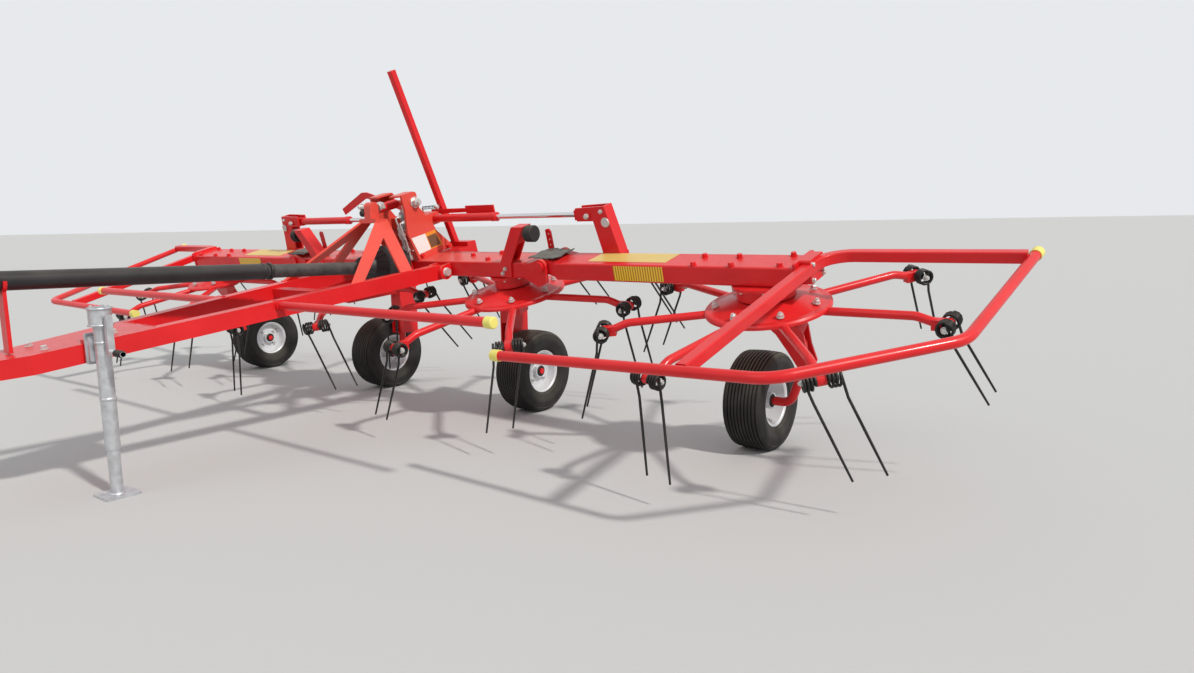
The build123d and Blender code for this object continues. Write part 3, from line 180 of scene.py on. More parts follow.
# Main beam red: its large dust share lightens the top, partly dust and partly a painted sheen
BEAM_RED_WITH_SHEEN = finish_of("dusty red paint with painted sheen", RED_TONE, dust_and_sheen=0.28, **PAINT)
BLACK = finish_of("black guard", (0.022, 0.021, 0.023), 0.42, vary=0.2, dust_and_sheen=0.10, grain=300, relief=0.0004)
WORN_BLACK = finish_of("worn guard", (0.055, 0.052, 0.052), 0.62, vary=0.35, dust_and_sheen=0.12, grain=160, spots=24)
YELLOW = finish_of("cap yellow", (0.78, 0.70, 0.17), 0.45, vary=0.05, dust_and_sheen=0.08)
TYRE = finish_of(
    "tyre rubber", (0.017, 0.016, 0.015), 0.66, vary=0.30, dust_and_sheen=0.26, grain=220, relief=0.0006, spots=14
)
RUBBER = finish_of("rubber", (0.020, 0.019, 0.019), 0.70, vary=0.25, dust_and_sheen=0.18, grain=240, relief=0.0006)
SPRING = finish_of("spring steel", (0.022, 0.021, 0.020), 0.36, metal=0.35, vary=0.25, dust_and_sheen=0.10, grain=500)
RIM = finish_of("rim silver", (0.66, 0.67, 0.69), 0.34, metal=0.25, vary=0.07, dust_and_sheen=0.10)
ZINC = finish_of("zinc", (0.62, 0.62, 0.60), 0.34, metal=0.55, vary=0.12, grain=300)
GALV = finish_of(
    "galvanised", (0.56, 0.57, 0.59), 0.40, metal=0.75, vary=0.16, grain=90, relief=0.0006, spots=34
)
CHROME = finish_of("chrome rod", (0.74, 0.74, 0.75), 0.09, metal=1.0, vary=0.03, grain=700, relief=0.0001)
STEEL = finish_of("machined steel", (0.42, 0.42, 0.42), 0.32, metal=0.9, vary=0.12)
LABEL = finish_of("blank label", (0.80, 0.79, 0.75), 0.40, vary=0.03)
ORANGE = finish_of("label band", (0.78, 0.27, 0.02), 0.40, vary=0.04)
UMBER = finish_of("label panel", (0.16, 0.075, 0.035), 0.42, vary=0.10)
FLAP = finish_of(
    "grey rubber flap", (0.105, 0.110, 0.105), 0.62, vary=0.25, dust_and_sheen=0.20, grain=180, relief=0.0008, spots=18
)
GRIP_RED = finish_of("red grip", (0.42, 0.004, 0.008), 0.35, vary=0.06)
PALE = finish_of("pale yellow film", (0.66, 0.46, 0.12), 0.38, vary=0.06, dust_and_sheen=0.05)

# The reflector: amber film with fine upright ribs, coloured darker in their grooves and lighter on their crests as
# painted shade and highlight
AMBER, amber_tree, amber_shader = principled("amber reflector", (0.85, 0.52, 0.03), 0.22, coat=0.3)
wave = amber_tree.nodes.new("ShaderNodeTexWave")
wave.bands_direction = "X"
wave.inputs["Scale"].default_value = 26.0
coords = amber_tree.nodes.new("ShaderNodeTexCoord")
amber_tree.links.new(coords.outputs["Object"], wave.inputs["Vector"])
amber_tone = ramp(amber_tree, wave.outputs["Fac"], (0.50, 0.20, 0.01), (0.90, 0.62, 0.04))
amber_tree.links.new(amber_tone.outputs["Color"], amber_shader.inputs["Base Color"])
bump(amber_tree, amber_shader, wave.outputs["Fac"], 0.5, 0.001)

BY_SLOT = {
    "red_paint": RED,
    "cap_yellow": YELLOW,
    "buffer_rubber": RUBBER,
    "guard_black": BLACK,
    "tyre_rubber": TYRE,
    "rim_silver": RIM,
    "galvanised_steel": GALV,
    "zinc_steel": ZINC,
    "bare_steel": STEEL,
    "chrome_rod": CHROME,
    "spring_steel": SPRING,
}
SLOT_OF = {s["node"]: s["material_slot"] for s in frame["record"]["subparts"]}
for name, obj in nodes.items():
    obj.data.materials.clear()
    obj.data.materials.append(BY_SLOT[SLOT_OF[name]])
nodes["shaft_tube_rear"].data.materials[0] = WORN_BLACK
# the main beam's top is lightened by dust and a painted sheen
nodes["main_beam"].data.materials[0] = BEAM_RED_WITH_SHEEN

# The left cylinder's rod is chrome up to the neck of its red eye
EYE_NECK = PLACE["fold_left"].x + 0.097
rod_mesh = nodes["cylinder_rod_left"].data
rod_mesh.materials.append(RED)
for face in rod_mesh.polygons:
    if face.center.x > EYE_NECK - 0.0001:
        face.material_index = 1


# Mesh making


def ring_points(middle, first, second, r, steps):
    """Points of a circle in the plane of two unit vectors."""
    turns = [tau * k / steps for k in range(steps)]
    return [middle + (first * cos(turn) + second * sin(turn)) * r for turn in turns]


def rounds(count, shift=0.5):
    """Angles of bolts or screws spread evenly round a circle."""
    return [tau * (k + shift) / count for k in range(count)]


class Shape:
    """Collects tubes, turned forms, plates and bolts into one mesh."""

    def __init__(self):
        self.verts = []
        self.faces = []
        self.smooth = []

    def add(self, verts, faces, smooth):
        base = len(self.verts)
        self.verts += [tuple(v) for v in verts]
        self.faces += [tuple(i + base for i in f) for f in faces]
        self.smooth += [smooth] * len(faces)

    def rings(self, rings, smooth=True, closed=False):
        """A skin over rings of points; it has end caps, or joins its last ring to the first."""
        count = len(rings[0])
        verts = [v for ring in rings for v in ring]
        faces = []
        last = len(rings) if closed else len(rings) - 1
        for r in range(last):
            a, b = r * count, ((r + 1) % len(rings)) * count
            for i in range(count):
                j = (i + 1) % count
                faces.append((a + i, a + j, b + j, b + i))
        self.add(verts, faces, smooth)
        if not closed:
            self.add(rings[0], [tuple(reversed(range(count)))], False)
            self.add(rings[-1], [tuple(range(count))], False)

    def tube(self, points, radius, sides=10):
        """A round tube along points; radius is one number or one for each point."""
        points = [Vector(p) for p in points]
        count = len(points)
        radii = radius if isinstance(radius, (list, tuple)) else [radius] * count
        rings = []
        normal = None
        for i, p in enumerate(points):
            along = points[min(i + 1, count - 1)] - points[max(i - 1, 0)]
            along.normalize()
            if normal is None:
                normal = along.orthogonal().normalized()
            normal = (normal - along * normal.dot(along)).normalized()
            rings.append(ring_points(p, normal, along.cross(normal), radii[i], sides))
        self.rings(rings)

    def turned(self, centre, axis, profile, steps=24, smooth=True, closed=False):
        """A profile of (along, radius) turned round an axis."""
        centre = Vector(centre)
        axis = Vector(axis).normalized()
        first = axis.orthogonal().normalized()
        second = axis.cross(first)
        rings = [ring_points(centre + axis * along, first, second, r, steps) for along, r in profile]
        self.rings(rings, smooth, closed)

    def band(self, centre, axis, inner, outer, long, edge, steps):
        """A closed ring round an axis, with its outer edges broken."""
        profile = ((0, inner), (edge, outer), (long - edge, outer), (long, inner))
        self.turned(centre, axis, profile, steps, True, True)

    def plate(self, outline, lift):
        """A flat outline with a thickness along lift."""
        lift = Vector(lift)
        low = [Vector(p) for p in outline]
        high = [p + lift for p in low]
        self.rings([low, high], False)

    def block(self, centre, half, axes):
        """A box with its own axes; half is its half sizes."""
        a, b, c = (Vector(v).normalized() * h for v, h in zip(axes, half))
        centre = Vector(centre)
        corners = [centre - a - b - c, centre + a - b - c, centre + a + b - c, centre - a + b - c]
        self.plate(corners, c * 2)

    def bolt(self, point, axis, size, washer=True, tail=0.0):
        """A hex head of that width across flats, with its washer and a thread end."""
        axis = Vector(axis).normalized()
        at = Vector(point)
        if washer:
            thick = size * 0.12
            self.turned(at, axis, ((0, size * 0.72), (thick, size * 0.72)), 14, False)
            at = at + axis * thick
        r = size / 2 / cos(pi / 6)
        self.turned(at, axis, ((0, r), (size * 0.52, r), (size * 0.62, r * 0.84)), 6, False)
        if tail:
            self.turned(at, axis, ((size * 0.6, size * 0.3), (size * 0.6 + tail, size * 0.3)), 8, False)

    def weld(self, start, end, radius=0.0032):
        """A weld bead: a thin tube with the uneven ripples of its passes."""
        start, end = Vector(start), Vector(end)
        count = max(6, int((end - start).length / 0.004))
        points = [start.lerp(end, i / count) for i in range(count + 1)]
        radii = [radius * (1 + 0.16 * sin(i * 2.1) + 0.10 * noise(p * 90)) for i, p in enumerate(points)]
        self.tube(points, radii, 6)

    def done(self, name, material, body, bevel=0.0):
        mesh = bpy.data.meshes.new(name)
        mesh.from_pydata(self.verts, [], self.faces)
        mesh.polygons.foreach_set("use_smooth", self.smooth)
        mesh.materials.append(material)
        mesh.update()
        obj = bpy.data.objects.new(name, mesh)
        scene.collection.objects.link(obj)
        if bevel:
            mod = obj.modifiers.new("Bevel", "BEVEL")
            mod.width = bevel
            mod.segments = 2
            mod.limit_method = "ANGLE"
            mod.angle_limit = radians(40)
        if body:
            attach(obj, body)
        return obj


# Camera, from the fit to the photograph
YAW, PITCH, ROLL = 2.219, -0.138, -0.017
CAMERA_AT = (3.293, -2.847 + ROW_Y, 0.935)
FOCAL_PIXELS, PHOTO_WIDTH, SENSOR_WIDTH = 815.9, 1194.0, 36.0
forward = Vector((cos(YAW) * cos(PITCH), sin(YAW) * cos(PITCH), sin(PITCH)))
side = forward.cross(ALONG_Z).normalized()
top = side.cross(forward)
cam_x = side * cos(ROLL) + top * sin(ROLL)
cam_y = top * cos(ROLL) - side * sin(ROLL)
camera_data = bpy.data.cameras.new("camera")
camera_data.sensor_fit = "HORIZONTAL"
camera_data.sensor_width = SENSOR_WIDTH
camera_data.lens = FOCAL_PIXELS * SENSOR_WIDTH / PHOTO_WIDTH
camera_data.clip_end = 1500.0
camera = bpy.data.objects.new("camera", camera_data)
spin = Matrix((cam_x, cam_y, -forward)).transposed().to_4x4()
camera.matrix_world = Matrix.Translation(CAMERA_AT) @ spin
scene.collection.objects.link(camera)
scene.camera = camera

# Floor, world and lamps
FLOOR_HALF, FLOOR_THICK = 500.0, 0.02
FLOOR_CORNERS = ((-1, -1), (1, -1), (1, 1), (-1, 1))
floor_shape = Shape()
floor_low = [(x * FLOOR_HALF, y * FLOOR_HALF, -FLOOR_THICK) for x, y in FLOOR_CORNERS]
floor_shape.plate(floor_low, (0, 0, FLOOR_THICK))
floor_mesh = bpy.data.meshes.new("floor")
floor_mesh.from_pydata(floor_shape.verts, [], floor_shape.faces)
FLOOR = principled("floor", (0.52, 0.52, 0.51), 0.90)[0]
floor_mesh.materials.append(FLOOR)
floor = bpy.data.objects.new("floor", floor_mesh)
scene.collection.objects.link(floor)

# The soft light falls on everything; camera, gloss and clear things see the plain background
world = bpy.data.worlds.new("world")
scene.world = world
world.use_nodes = True
sky = world.node_tree
soft = sky.nodes["Background"]
soft.inputs["Color"].default_value = (0.93, 0.96, 1.0, 1)
soft.inputs["Strength"].default_value = 0.62
plain = sky.nodes.new("ShaderNodeBackground")
plain.inputs["Color"].default_value = (0.80, 0.82, 0.84, 1)
plain.inputs["Strength"].default_value = 1.0
path = sky.nodes.new("ShaderNodeLightPath")
seen = sky.nodes.new("ShaderNodeMath")
seen.operation = "MAXIMUM"
both = sky.nodes.new("ShaderNodeMath")
both.operation = "MAXIMUM"
choose = sky.nodes.new("ShaderNodeMixShader")
sky.links.new(path.outputs["Is Camera Ray"], seen.inputs[0])
sky.links.new(path.outputs["Is Glossy Ray"], seen.inputs[1])
sky.links.new(seen.outputs[0], both.inputs[0])
sky.links.new(path.outputs["Is Transmission Ray"], both.inputs[1])
sky.links.new(both.outputs[0], choose.inputs["Fac"])
sky.links.new(soft.outputs[0], choose.inputs[1])
sky.links.new(plain.outputs[0], choose.inputs[2])
sky.links.new(choose.outputs[0], sky.nodes["World Output"].inputs["Surface"])


def sun(name, towards, energy, angle, color=(1, 1, 1)):
    """A sun lamp that stands in that direction."""
    data = bpy.data.lights.new(name, "SUN")
    data.energy = energy
    data.color = color
    data.angle = angle
    obj = bpy.data.objects.new(name, data)
    obj.rotation_euler = (-Vector(towards)).to_track_quat("-Z", "Y").to_euler()
    scene.collection.objects.link(obj)


sun("key", (1.0, -0.10, 0.95), 2.6, 0.06, (1.0, 0.97, 0.92))
sun("fill", (-0.3, -1.0, 0.8), 0.30, 0.6)
scene.view_settings.view_transform = "Standard"

# Rotors: bolt rings on the dishes, clamp bolts, and the coils with their tines
OUTER_X, INNER_X = 1.95, 0.65
ARM_COUNT = 7
COIL_R, COIL_CENTRE, COIL_DROP, COIL_LONG = 0.032, 0.650, -0.042, 0.128
COIL_TURNS, COIL_STEPS = 3.25, 14
WIRE = 0.0049
TIP_R, TIP_DROP, TRAIL = 0.762, -0.345, 0.095
GAP = 0.0155  # from the clamp's middle to the first winding
COIL_PITCH = (COIL_LONG / 2 - GAP - 2 * WIRE) / COIL_TURNS
LEG_OFFSET = COIL_LONG / 2 - 0.010
CORE_R = 0.0185
DISH_BOLT_R = 0.195
DISH_BOLT_N = 0.0135
ROTORS = (
    # name, x, trail
    ("outer_left", OUTER_X, TRAIL),
    ("inner_left", INNER_X, -TRAIL),
    ("inner_right", -INNER_X, TRAIL),
    ("outer_right", -OUTER_X, -TRAIL),
)


def spoke(x, radius, angle, n):
    """A point round the rotor at x, n above the row's plane."""
    return row(x + radius * cos(angle), radius * sin(angle), n)


for name, x, trail in ROTORS:
    coils = Shape()
    bolts = Shape()
    for angle in rounds(ARM_COUNT, 0):
        across = (spoke(x, 1, angle + pi / 2, 0) - row(x, 0, 0)).normalized()
        outward = (spoke(x, 1, angle, 0) - row(x, 0, 0)).normalized()
        centre = spoke(x, COIL_CENTRE, angle, COIL_DROP)
        tip = spoke(x, TIP_R, angle, TIP_DROP) + across * trail
        second = across.cross(outward) * -1
        for way in (1, -1):
            r = COIL_R - WIRE
            leg_start = centre + across * way * LEG_OFFSET
            leg_end = tip + across * way * LEG_OFFSET
            run = (leg_end - leg_start).normalized()
            points = []
            for i in range(int(COIL_TURNS * COIL_STEPS) + 1):
                turn = tau * i / COIL_STEPS
                shift = GAP + WIRE + COIL_PITCH * i / COIL_STEPS
                round_point = (outward * cos(turn) + second * sin(turn)) * r
                points.append(centre + across * way * shift + round_point)
            # the last turn leaves along the tine's own direction
            leave = points[-1]
            points.append(leave + run * 0.012 + (leg_start - leave) * 0.15)
            points.append(leg_start + run * 0.07)
            points.append(leg_start + run * ((leg_end - leg_start).length * 0.6))
            points.append(leg_end)
            radii = [WIRE] * (len(points) - 1) + [WIRE * 0.8]
            coils.tube(points, radii, 7)
            bolt_at = centre + across * way * (COIL_LONG / 2 - 0.012)
            bolts.bolt(bolt_at, across * way, 0.018, True, 0.005)
        coils.turned(centre - across * GAP * 1.2, across, ((0, CORE_R), (GAP * 2.4, CORE_R)), 12)
        # the bolt that holds the arm under the dish
        bolts.bolt(spoke(x, DISH_BOLT_R, angle, DISH_BOLT_N), UP + outward * 0.28, 0.020, True, 0.005)
    tines = coils.done(f"coils_{name}", SPRING, f"rotor_{name}")
    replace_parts(tines, f"tines_{name}")
    bolts.done(f"rotor_bolts_{name}", ZINC, f"rotor_{name}")

# Gear housings: bolts under the flange
HUB_BOLTS = 8
HUB_BOLT_N = 0.084
HUBS = (
    # name, x, radius of the bolt circle, body
    ("outer_left", OUTER_X, 0.119, "wing_left"),
    ("inner_left", INNER_X, 0.089, "frame"),
    ("inner_right", -INNER_X, 0.089, "frame"),
    ("outer_right", -OUTER_X, 0.119, "wing_right"),
)
for name, x, circle, body in HUBS:
    bolts = Shape()
    for angle in rounds(HUB_BOLTS):
        bolts.bolt(spoke(x, circle, angle, HUB_BOLT_N), -UP, 0.011, False)
    bolts.done(f"flange_bolts_{name}", ZINC, body)

# Wheels: ribbed tyres, studs and valve, hub seals and rim lips
WHEELS = (
    # name, x, y behind the row, side on which the disc lies
    ("outer_left", 1.839, 0.190, -1),
    ("outer_right", -1.839, 0.190, 1),
    ("inner_left", 0.575, 0.205, 1),
    ("inner_right", -0.575, 0.205, -1),
)
TYRE_R, BEAD_R = 0.204, 0.104
TREAD_WIDTH, TREAD_RIBS, TREAD_DROP, GROOVE_DEEP = 0.132, 9, 0.0035, 0.006
TYRE_WALL = (
    # along the axle, above the bead
    (-0.060, 0.0), (-0.067, 0.002), (-0.070, 0.010), (-0.0735, 0.012), (-0.077, 0.026), (-0.0815, 0.042),
    (-0.0825, 0.052), (-0.0822, 0.064), (-0.0795, 0.077), (-0.0790, 0.079), (-0.0800, 0.081), (-0.077, 0.088),
    (-0.071, 0.0945),
)
TYRE_INSIDE = ((0.058, -0.001), (0.0, 0.004), (-0.058, -0.001))
RIM_LIP = (
    (0.050, 0.096), (0.058, 0.1005), (0.0635, 0.1055), (0.0655, 0.1065), (0.0665, 0.1045), (0.0625, 0.098),
    (0.056, 0.094),
)
HUB_SEAL = ((-0.002, 0.0150), (-0.002, 0.027), (0.0015, 0.0275), (0.0040, 0.0235), (0.0040, 0.0150))
STUD_COUNT, STUD_R, DISC_OUT, SEAL_OUT = 4, 0.056, 0.020, 0.0482
VALVE_AT = Vector((0, 0.066, 0.045))


def above_bead(points):
    """The same points with radii in place of heights above the bead."""
    return [(along, BEAD_R + high) for along, high in points]


wall = above_bead(TYRE_WALL)
tread = []
for k in range(TREAD_RIBS):
    a = -TREAD_WIDTH / 2 + TREAD_WIDTH * k / TREAD_RIBS
    b = -TREAD_WIDTH / 2 + TREAD_WIDTH * (k + 1) / TREAD_RIBS
    crown = TYRE_R - TREAD_DROP * (abs(a + b) / TREAD_WIDTH) ** 2
    groove = crown - GROOVE_DEEP
    tread += [(a + 0.0015, groove), (a + 0.003, crown), (b - 0.003, crown), (b - 0.0015, groove)]
far_wall = [(-along, r) for along, r in reversed(wall)]
TYRE_PROFILE = wall + tread + far_wall + above_bead(TYRE_INSIDE)

for name, x, y, disc in WHEELS:
    middle = back(x, y, TYRE_R)
    shape = Shape()
    shape.turned(middle, ALONG_X, TYRE_PROFILE, 96, True, True)
    tyre = shape.done(f"tyre_tread_{name}", TYRE, f"wheel_{name}")
    mod = tyre.modifiers.new("Edges", "EDGE_SPLIT")
    mod.split_angle = radians(38)
    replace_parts(tyre, f"tyre_{name}")
    trim = Shape()
    for angle in rounds(STUD_COUNT):
        out = Vector((0, cos(angle), sin(angle)))
        for way in (1, -1):
            base = middle + ALONG_X * (disc * DISC_OUT + way * 0.004) + out * STUD_R
            trim.bolt(base, ALONG_X * way, 0.017, True, 0.004 if way == disc else 0)
    valve_base = middle + ALONG_X * disc * DISC_OUT + VALVE_AT
    trim.turned(valve_base, ALONG_X * disc, ((0, 0.005), (0.010, 0.005), (0.012, 0.004), (0.026, 0.004)), 10)
    trim.done(f"wheel_studs_{name}", ZINC, f"wheel_{name}")
    seal = Shape()
    for way in (1, -1):
        seal.turned(middle + ALONG_X * way * SEAL_OUT, ALONG_X * way, HUB_SEAL, 32, True, True)
    seal.done(f"hub_seals_{name}", RUBBER, f"wheel_{name}")
    lip = Shape()
    for way in (1, -1):
        lip.turned(middle, ALONG_X * way, RIM_LIP, 48, True, True)
    lip.done(f"rim_lip_{name}", RIM, f"wheel_{name}")

# Headstock: two plates with a rim, the bar between them and two cross bolts
HEAD_X = 0.122
HEAD_BOLT_AT, FOOT_BOLT_AT = (-0.016, 0.452), (0.068, 0.240)
HEAD_BOLT = row(0, *HEAD_BOLT_AT)
TOWER_PIN = back(0, -0.300, 1.021)
HEAD_THICK = 0.012
CAP_X, CAP_WIDE = 0.048, 0.064
BAR_HALF = 0.111
HEAD_OUTLINE = (
    # the row's depth and height
    (-0.075, BEAM_TOP), (0.158, BEAM_TOP), (0.158, 0.187), (0.078, 0.2845), (0.0692, 0.315), (0.0065, 0.4195),
    (0.0035, 0.440), (0.0085, 0.4870), (0.0040, 0.4975), (-0.0040, 0.5020), (-0.088, 0.5020), (-0.0850, 0.430),
    (-0.1045, 0.319),
)
CAP_OUTLINE = (
    (-0.099, 0.5035), (-0.004, 0.5035), (0.0050, 0.4985), (0.0095, 0.4870), (0.0060, 0.4560), (-0.002, 0.4560),
    (0.0005, 0.4850), (-0.0050, 0.4945), (-0.099, 0.4945),
)
ANCHOR_OUTLINE = (
    (0.000, 0.314), (0.004, 0.310), (0.126, 0.310), (0.130, 0.314), (0.130, 0.366), (0.126, 0.370),
    (0.004, 0.370), (0.000, 0.366),
)
head = Shape()
for way in (1, -1):
    inner_face = way * (HEAD_X - HEAD_THICK)
    head.plate([row(inner_face, y, n) for y, n in HEAD_OUTLINE[::way]], ALONG_X * way * HEAD_THICK)
    head.plate([row(way * CAP_X, y, n) for y, n in CAP_OUTLINE[::way]], ALONG_X * way * CAP_WIDE)
head.plate([row(-BAR_HALF, y, n) for y, n in ANCHOR_OUTLINE], ALONG_X * 2 * BAR_HALF)
for (y, n), r in ((HEAD_BOLT_AT, 0.014), (FOOT_BOLT_AT, 0.016)):
    head.turned(row(-BAR_HALF, y, n), ALONG_X, ((0, r), (2 * BAR_HALF, r)), 28)
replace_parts(head.done("headstock_plates", FADED_RED_WITH_SHEEN, "frame", 0.0012), "headstock")

# Tower: plates with a window, drawn in their own plane, a top plate and the lug of the link
FOOT_FRONT = back(0.262, -0.672, 0.675)
RUN = (back(0.288, -0.330, 0.722) - FOOT_FRONT).normalized()
FACE = RUN.cross(back(0.052, -0.306, 0.963) - FOOT_FRONT).normalized()
RISING = FACE.cross(RUN)
PLATE_HALF = 0.006
OUTER = ((0.0335, 0.0), (0.3770, 0.3430), (0.4375, 0.3330), (0.3680, 0.0))
INNER = ((0.1060, 0.003), (0.3448, 0.2233), (0.3468, 0.2233), (0.3026, 0.003))
TOP_PLATE = (
    # X and the distance behind the row
    (-0.062, -0.327), (0.062, -0.327), (0.066, -0.322), (0.066, -0.257), (0.062, -0.252), (-0.062, -0.252),
    (-0.066, -0.257), (-0.066, -0.322),
)
TOP_PLATE_Z, TOP_PLATE_THICK = 0.953, 0.021
LUG_HALF, LUG_R, LUG_FOOT_Z, LUG_STEPS = 0.024, 0.025, 0.970, 14


def on_tower(way, a, b, out):
    """A point on one tower plate: along its foot, up its slope and out of its face."""
    point = FOOT_FRONT + RUN * a + RISING * b + FACE * out
    return Vector((way * point.x, point.y, point.z))


tower = Shape()
for way in (1, -1):
    rings = []
    for outer, inner in zip(OUTER, INNER):
        ring = [on_tower(way, *outer, PLATE_HALF), on_tower(way, *outer, -PLATE_HALF)]
        ring += [on_tower(way, *inner, -PLATE_HALF), on_tower(way, *inner, PLATE_HALF)]
        rings.append(ring[::way])
    tower.rings(rings, False, True)
tower.plate([back(x, y, TOP_PLATE_Z) for x, y in TOP_PLATE], ALONG_Z * TOP_PLATE_THICK)
lug = [back(-LUG_HALF, TOWER_PIN.y - ROW_Y + y, LUG_FOOT_Z) for y in (LUG_R, -LUG_R)]
for k in range(LUG_STEPS + 1):
    turn = pi * k / LUG_STEPS
    lug.append(TOWER_PIN + Vector((-LUG_HALF, -LUG_R * cos(turn), 0.009 + LUG_R * sin(turn))))
tower.plate(lug, ALONG_X * 2 * LUG_HALF)
pin_profile = ((0, 0.0125), (2 * LUG_HALF + 0.0025, 0.0125))
tower.turned(TOWER_PIN - ALONG_X * (LUG_HALF + 0.001), ALONG_X, pin_profile, 24)
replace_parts(tower.done("tower_plates", FADED_RED_WITH_SHEEN, "frame", 0.0012), "tower")

# Bolts and welds of both, the nut of the link, and the pipes of the valve block
trim = Shape()
painted = Shape()
for way in (1, -1):
    for outer, inner in ((OUTER[0], INNER[0]), (OUTER[3], INNER[3])):
        start, end = (on_tower(way, a, 0.001, PLATE_HALF) for a in (outer[0], inner[0]))
        painted.weld(start, end, 0.0034)
    plate = way * HEAD_X
    trim.bolt(row(plate, *HEAD_BOLT_AT), ALONG_X * way, 0.038, True, 0.012)
    for y, n in ((-0.052, 0.190), (0.130, 0.184)):
        painted.bolt(row(plate, y, n), ALONG_X * way, 0.017)
    for x in (plate, plate - way * HEAD_THICK):
        painted.weld(row(x, -0.074, BEAM_TOP), row(x, 0.082, BEAM_TOP))
link_way = (HEAD_BOLT - TOWER_PIN).normalized()
link_start = TOWER_PIN + link_way * 0.036
trim.turned(link_start, link_way, ((0, 0.020), (0.002, 0.0245), (0.012, 0.0245), (0.015, 0.0228)), 24)
trim.turned(link_start, link_way, ((0.014, 0.0262), (0.032, 0.0262)), 6, False)
far_bolt = back(-LUG_HALF, -0.318, 1.031)
trim.turned(far_bolt, -ALONG_X, ((0, 0.0105), (0.022, 0.0105)), 16)
trim.bolt(far_bolt - ALONG_X * 0.022, -ALONG_X, 0.024, True, 0.012)
PIPE_R, PIPE_FOOT_Y, PIPE_FOOT_N = 0.0042, -0.098, 0.196
PIPE_NUTS = ((0.16, 0.0088, 0.015), (0.27, 0.0072, 0.012), (0.62, 0.0088, 0.014))  # share, radius, length
FITTINGS = (
    # X, row's depth and height of a fitting, and where its pipe ends on the beam
    (0.076, -0.083, 0.345, 0.060),
    (0.098, -0.083, 0.370, 0.092),
    (0.076, -0.083, 0.398, 0.078),
)
for x, y, n, foot_x in FITTINGS:
    start = row(x, y, n)
    trim.bolt(start, -REAR, 0.019, True, 0.0)
    trim.turned(start, -REAR, ((0.010, 0.0068), (0.024, 0.0068), (0.026, 0.0056)), 12)
    elbow = start - REAR * 0.034
    low = row(foot_x, PIPE_FOOT_Y, PIPE_FOOT_N)
    sag = elbow.lerp(low, 0.5) + ALONG_X * 0.004
    trim.tube([start - REAR * 0.020, elbow, elbow - UP * 0.012, sag, low, low - UP * 0.012], PIPE_R)
    down = (low - elbow).normalized()
    for share, r, long in PIPE_NUTS:
        nut = elbow.lerp(low, share + (x - 0.076) * 4.5 + (n - 0.345) * 1.1)
        trim.turned(nut, down, ((0, r), (long, r)), 6, False)
    trim.turned(low - UP * 0.014, UP, ((0, 0.009), (0.020, 0.009)), 6, False)
trim.block(row(0.087, -0.060, 0.424), (0.017, 0.016, 0.007), (ALONG_X, REAR, UP))
trim.turned(row(0.087, -0.060, 0.431), UP, ((0, 0.010), (0.004, 0.011), (0.016, 0.011), (0.018, 0.008)), 16)
bush = Shape()
bush_profile = ((0, 0.0150), (0.002, 0.0165), (0.030, 0.0165), (0.033, 0.0135))
bush.turned(back(-LUG_HALF, -0.314, 1.001), -ALONG_X, bush_profile, 24)
bush.done("tower_bush", RUBBER, "frame")

# Main beam: painted bolts on top, two bolts on the front, and the welds of the stops
STOP_X, STOP_WELD_N = 0.690, BEAM_TOP + 0.0005
for way in (1, -1):
    for x, y in ((0.42, 0.010), (0.575, 0.050), (0.575, -0.050), (0.845, 0.050)):
        painted.bolt(row(way * x, y, BEAM_TOP), UP, 0.019)
    painted.weld(row(way * STOP_X, -0.0284, STOP_WELD_N), row(way * 0.756, -0.0284, STOP_WELD_N))
    painted.weld(row(way * STOP_X, -0.088, STOP_WELD_N), row(way * STOP_X, -0.030, STOP_WELD_N))
    for k in range(2):
        trim.bolt(row(way * (0.694 + 0.020 * k), -0.0905, 0.122 + 0.022 * k), -REAR, 0.014)

# Drawbar: bolts and welds of the nose plate, and the ends of its hinge pins
SLOPE = radians(7.6)
DRAW_UP = Vector((0, -sin(SLOPE), cos(SLOPE)))
DRAW_REAR = Vector((0, cos(SLOPE), sin(SLOPE)))
DRAW_HOME = back(0, -0.150, 0.715)
DRAW_TOP = 0.034  # its top face above its axis


def drawbar(x, y, n=0.0):
    """A point in the drawbar's own axes."""
    return DRAW_HOME + ALONG_X * x + DRAW_REAR * y + DRAW_UP * n


for way in (1, -1):
    for y in (-1.63, -1.40):
        trim.bolt(drawbar(way * 0.070, y, DRAW_TOP), DRAW_UP, 0.020)
    painted.weld(drawbar(way * 0.130, -1.279, 0.0335), drawbar(way * 0.026, -1.279, 0.0335), 0.0028)
trim.bolt(drawbar(0, -1.78, DRAW_TOP), DRAW_UP, 0.030, True, 0.010)
for way in (1, -1):
    pin_end = drawbar(way * 0.3505, 0)
    trim.turned(pin_end, ALONG_X * way, ((0, 0.0215), (0.003, 0.0215), (0.0035, 0.0190)), 28)
# the left lock hook's bolt, and the two pins that hold its spring
hook_profile = ((0, 0.0075), (0.010, 0.0075), (0.012, 0.0105), (0.022, 0.0105), (0.024, 0.0080))
trim.turned(row(0.078, 0.144, 0.388), ALONG_X, hook_profile, 20)
trim.tube([row(0.082, 0.144, 0.372), row(0.082, 0.144, 0.388)], 0.004)
trim.tube([row(0.004, 0.124, 0.368), row(0.004, 0.124, 0.392)], 0.004)
trim.done("frame_bolts", ZINC, "frame", 0.0006)
painted.done("painted_bolts", RED, "frame")

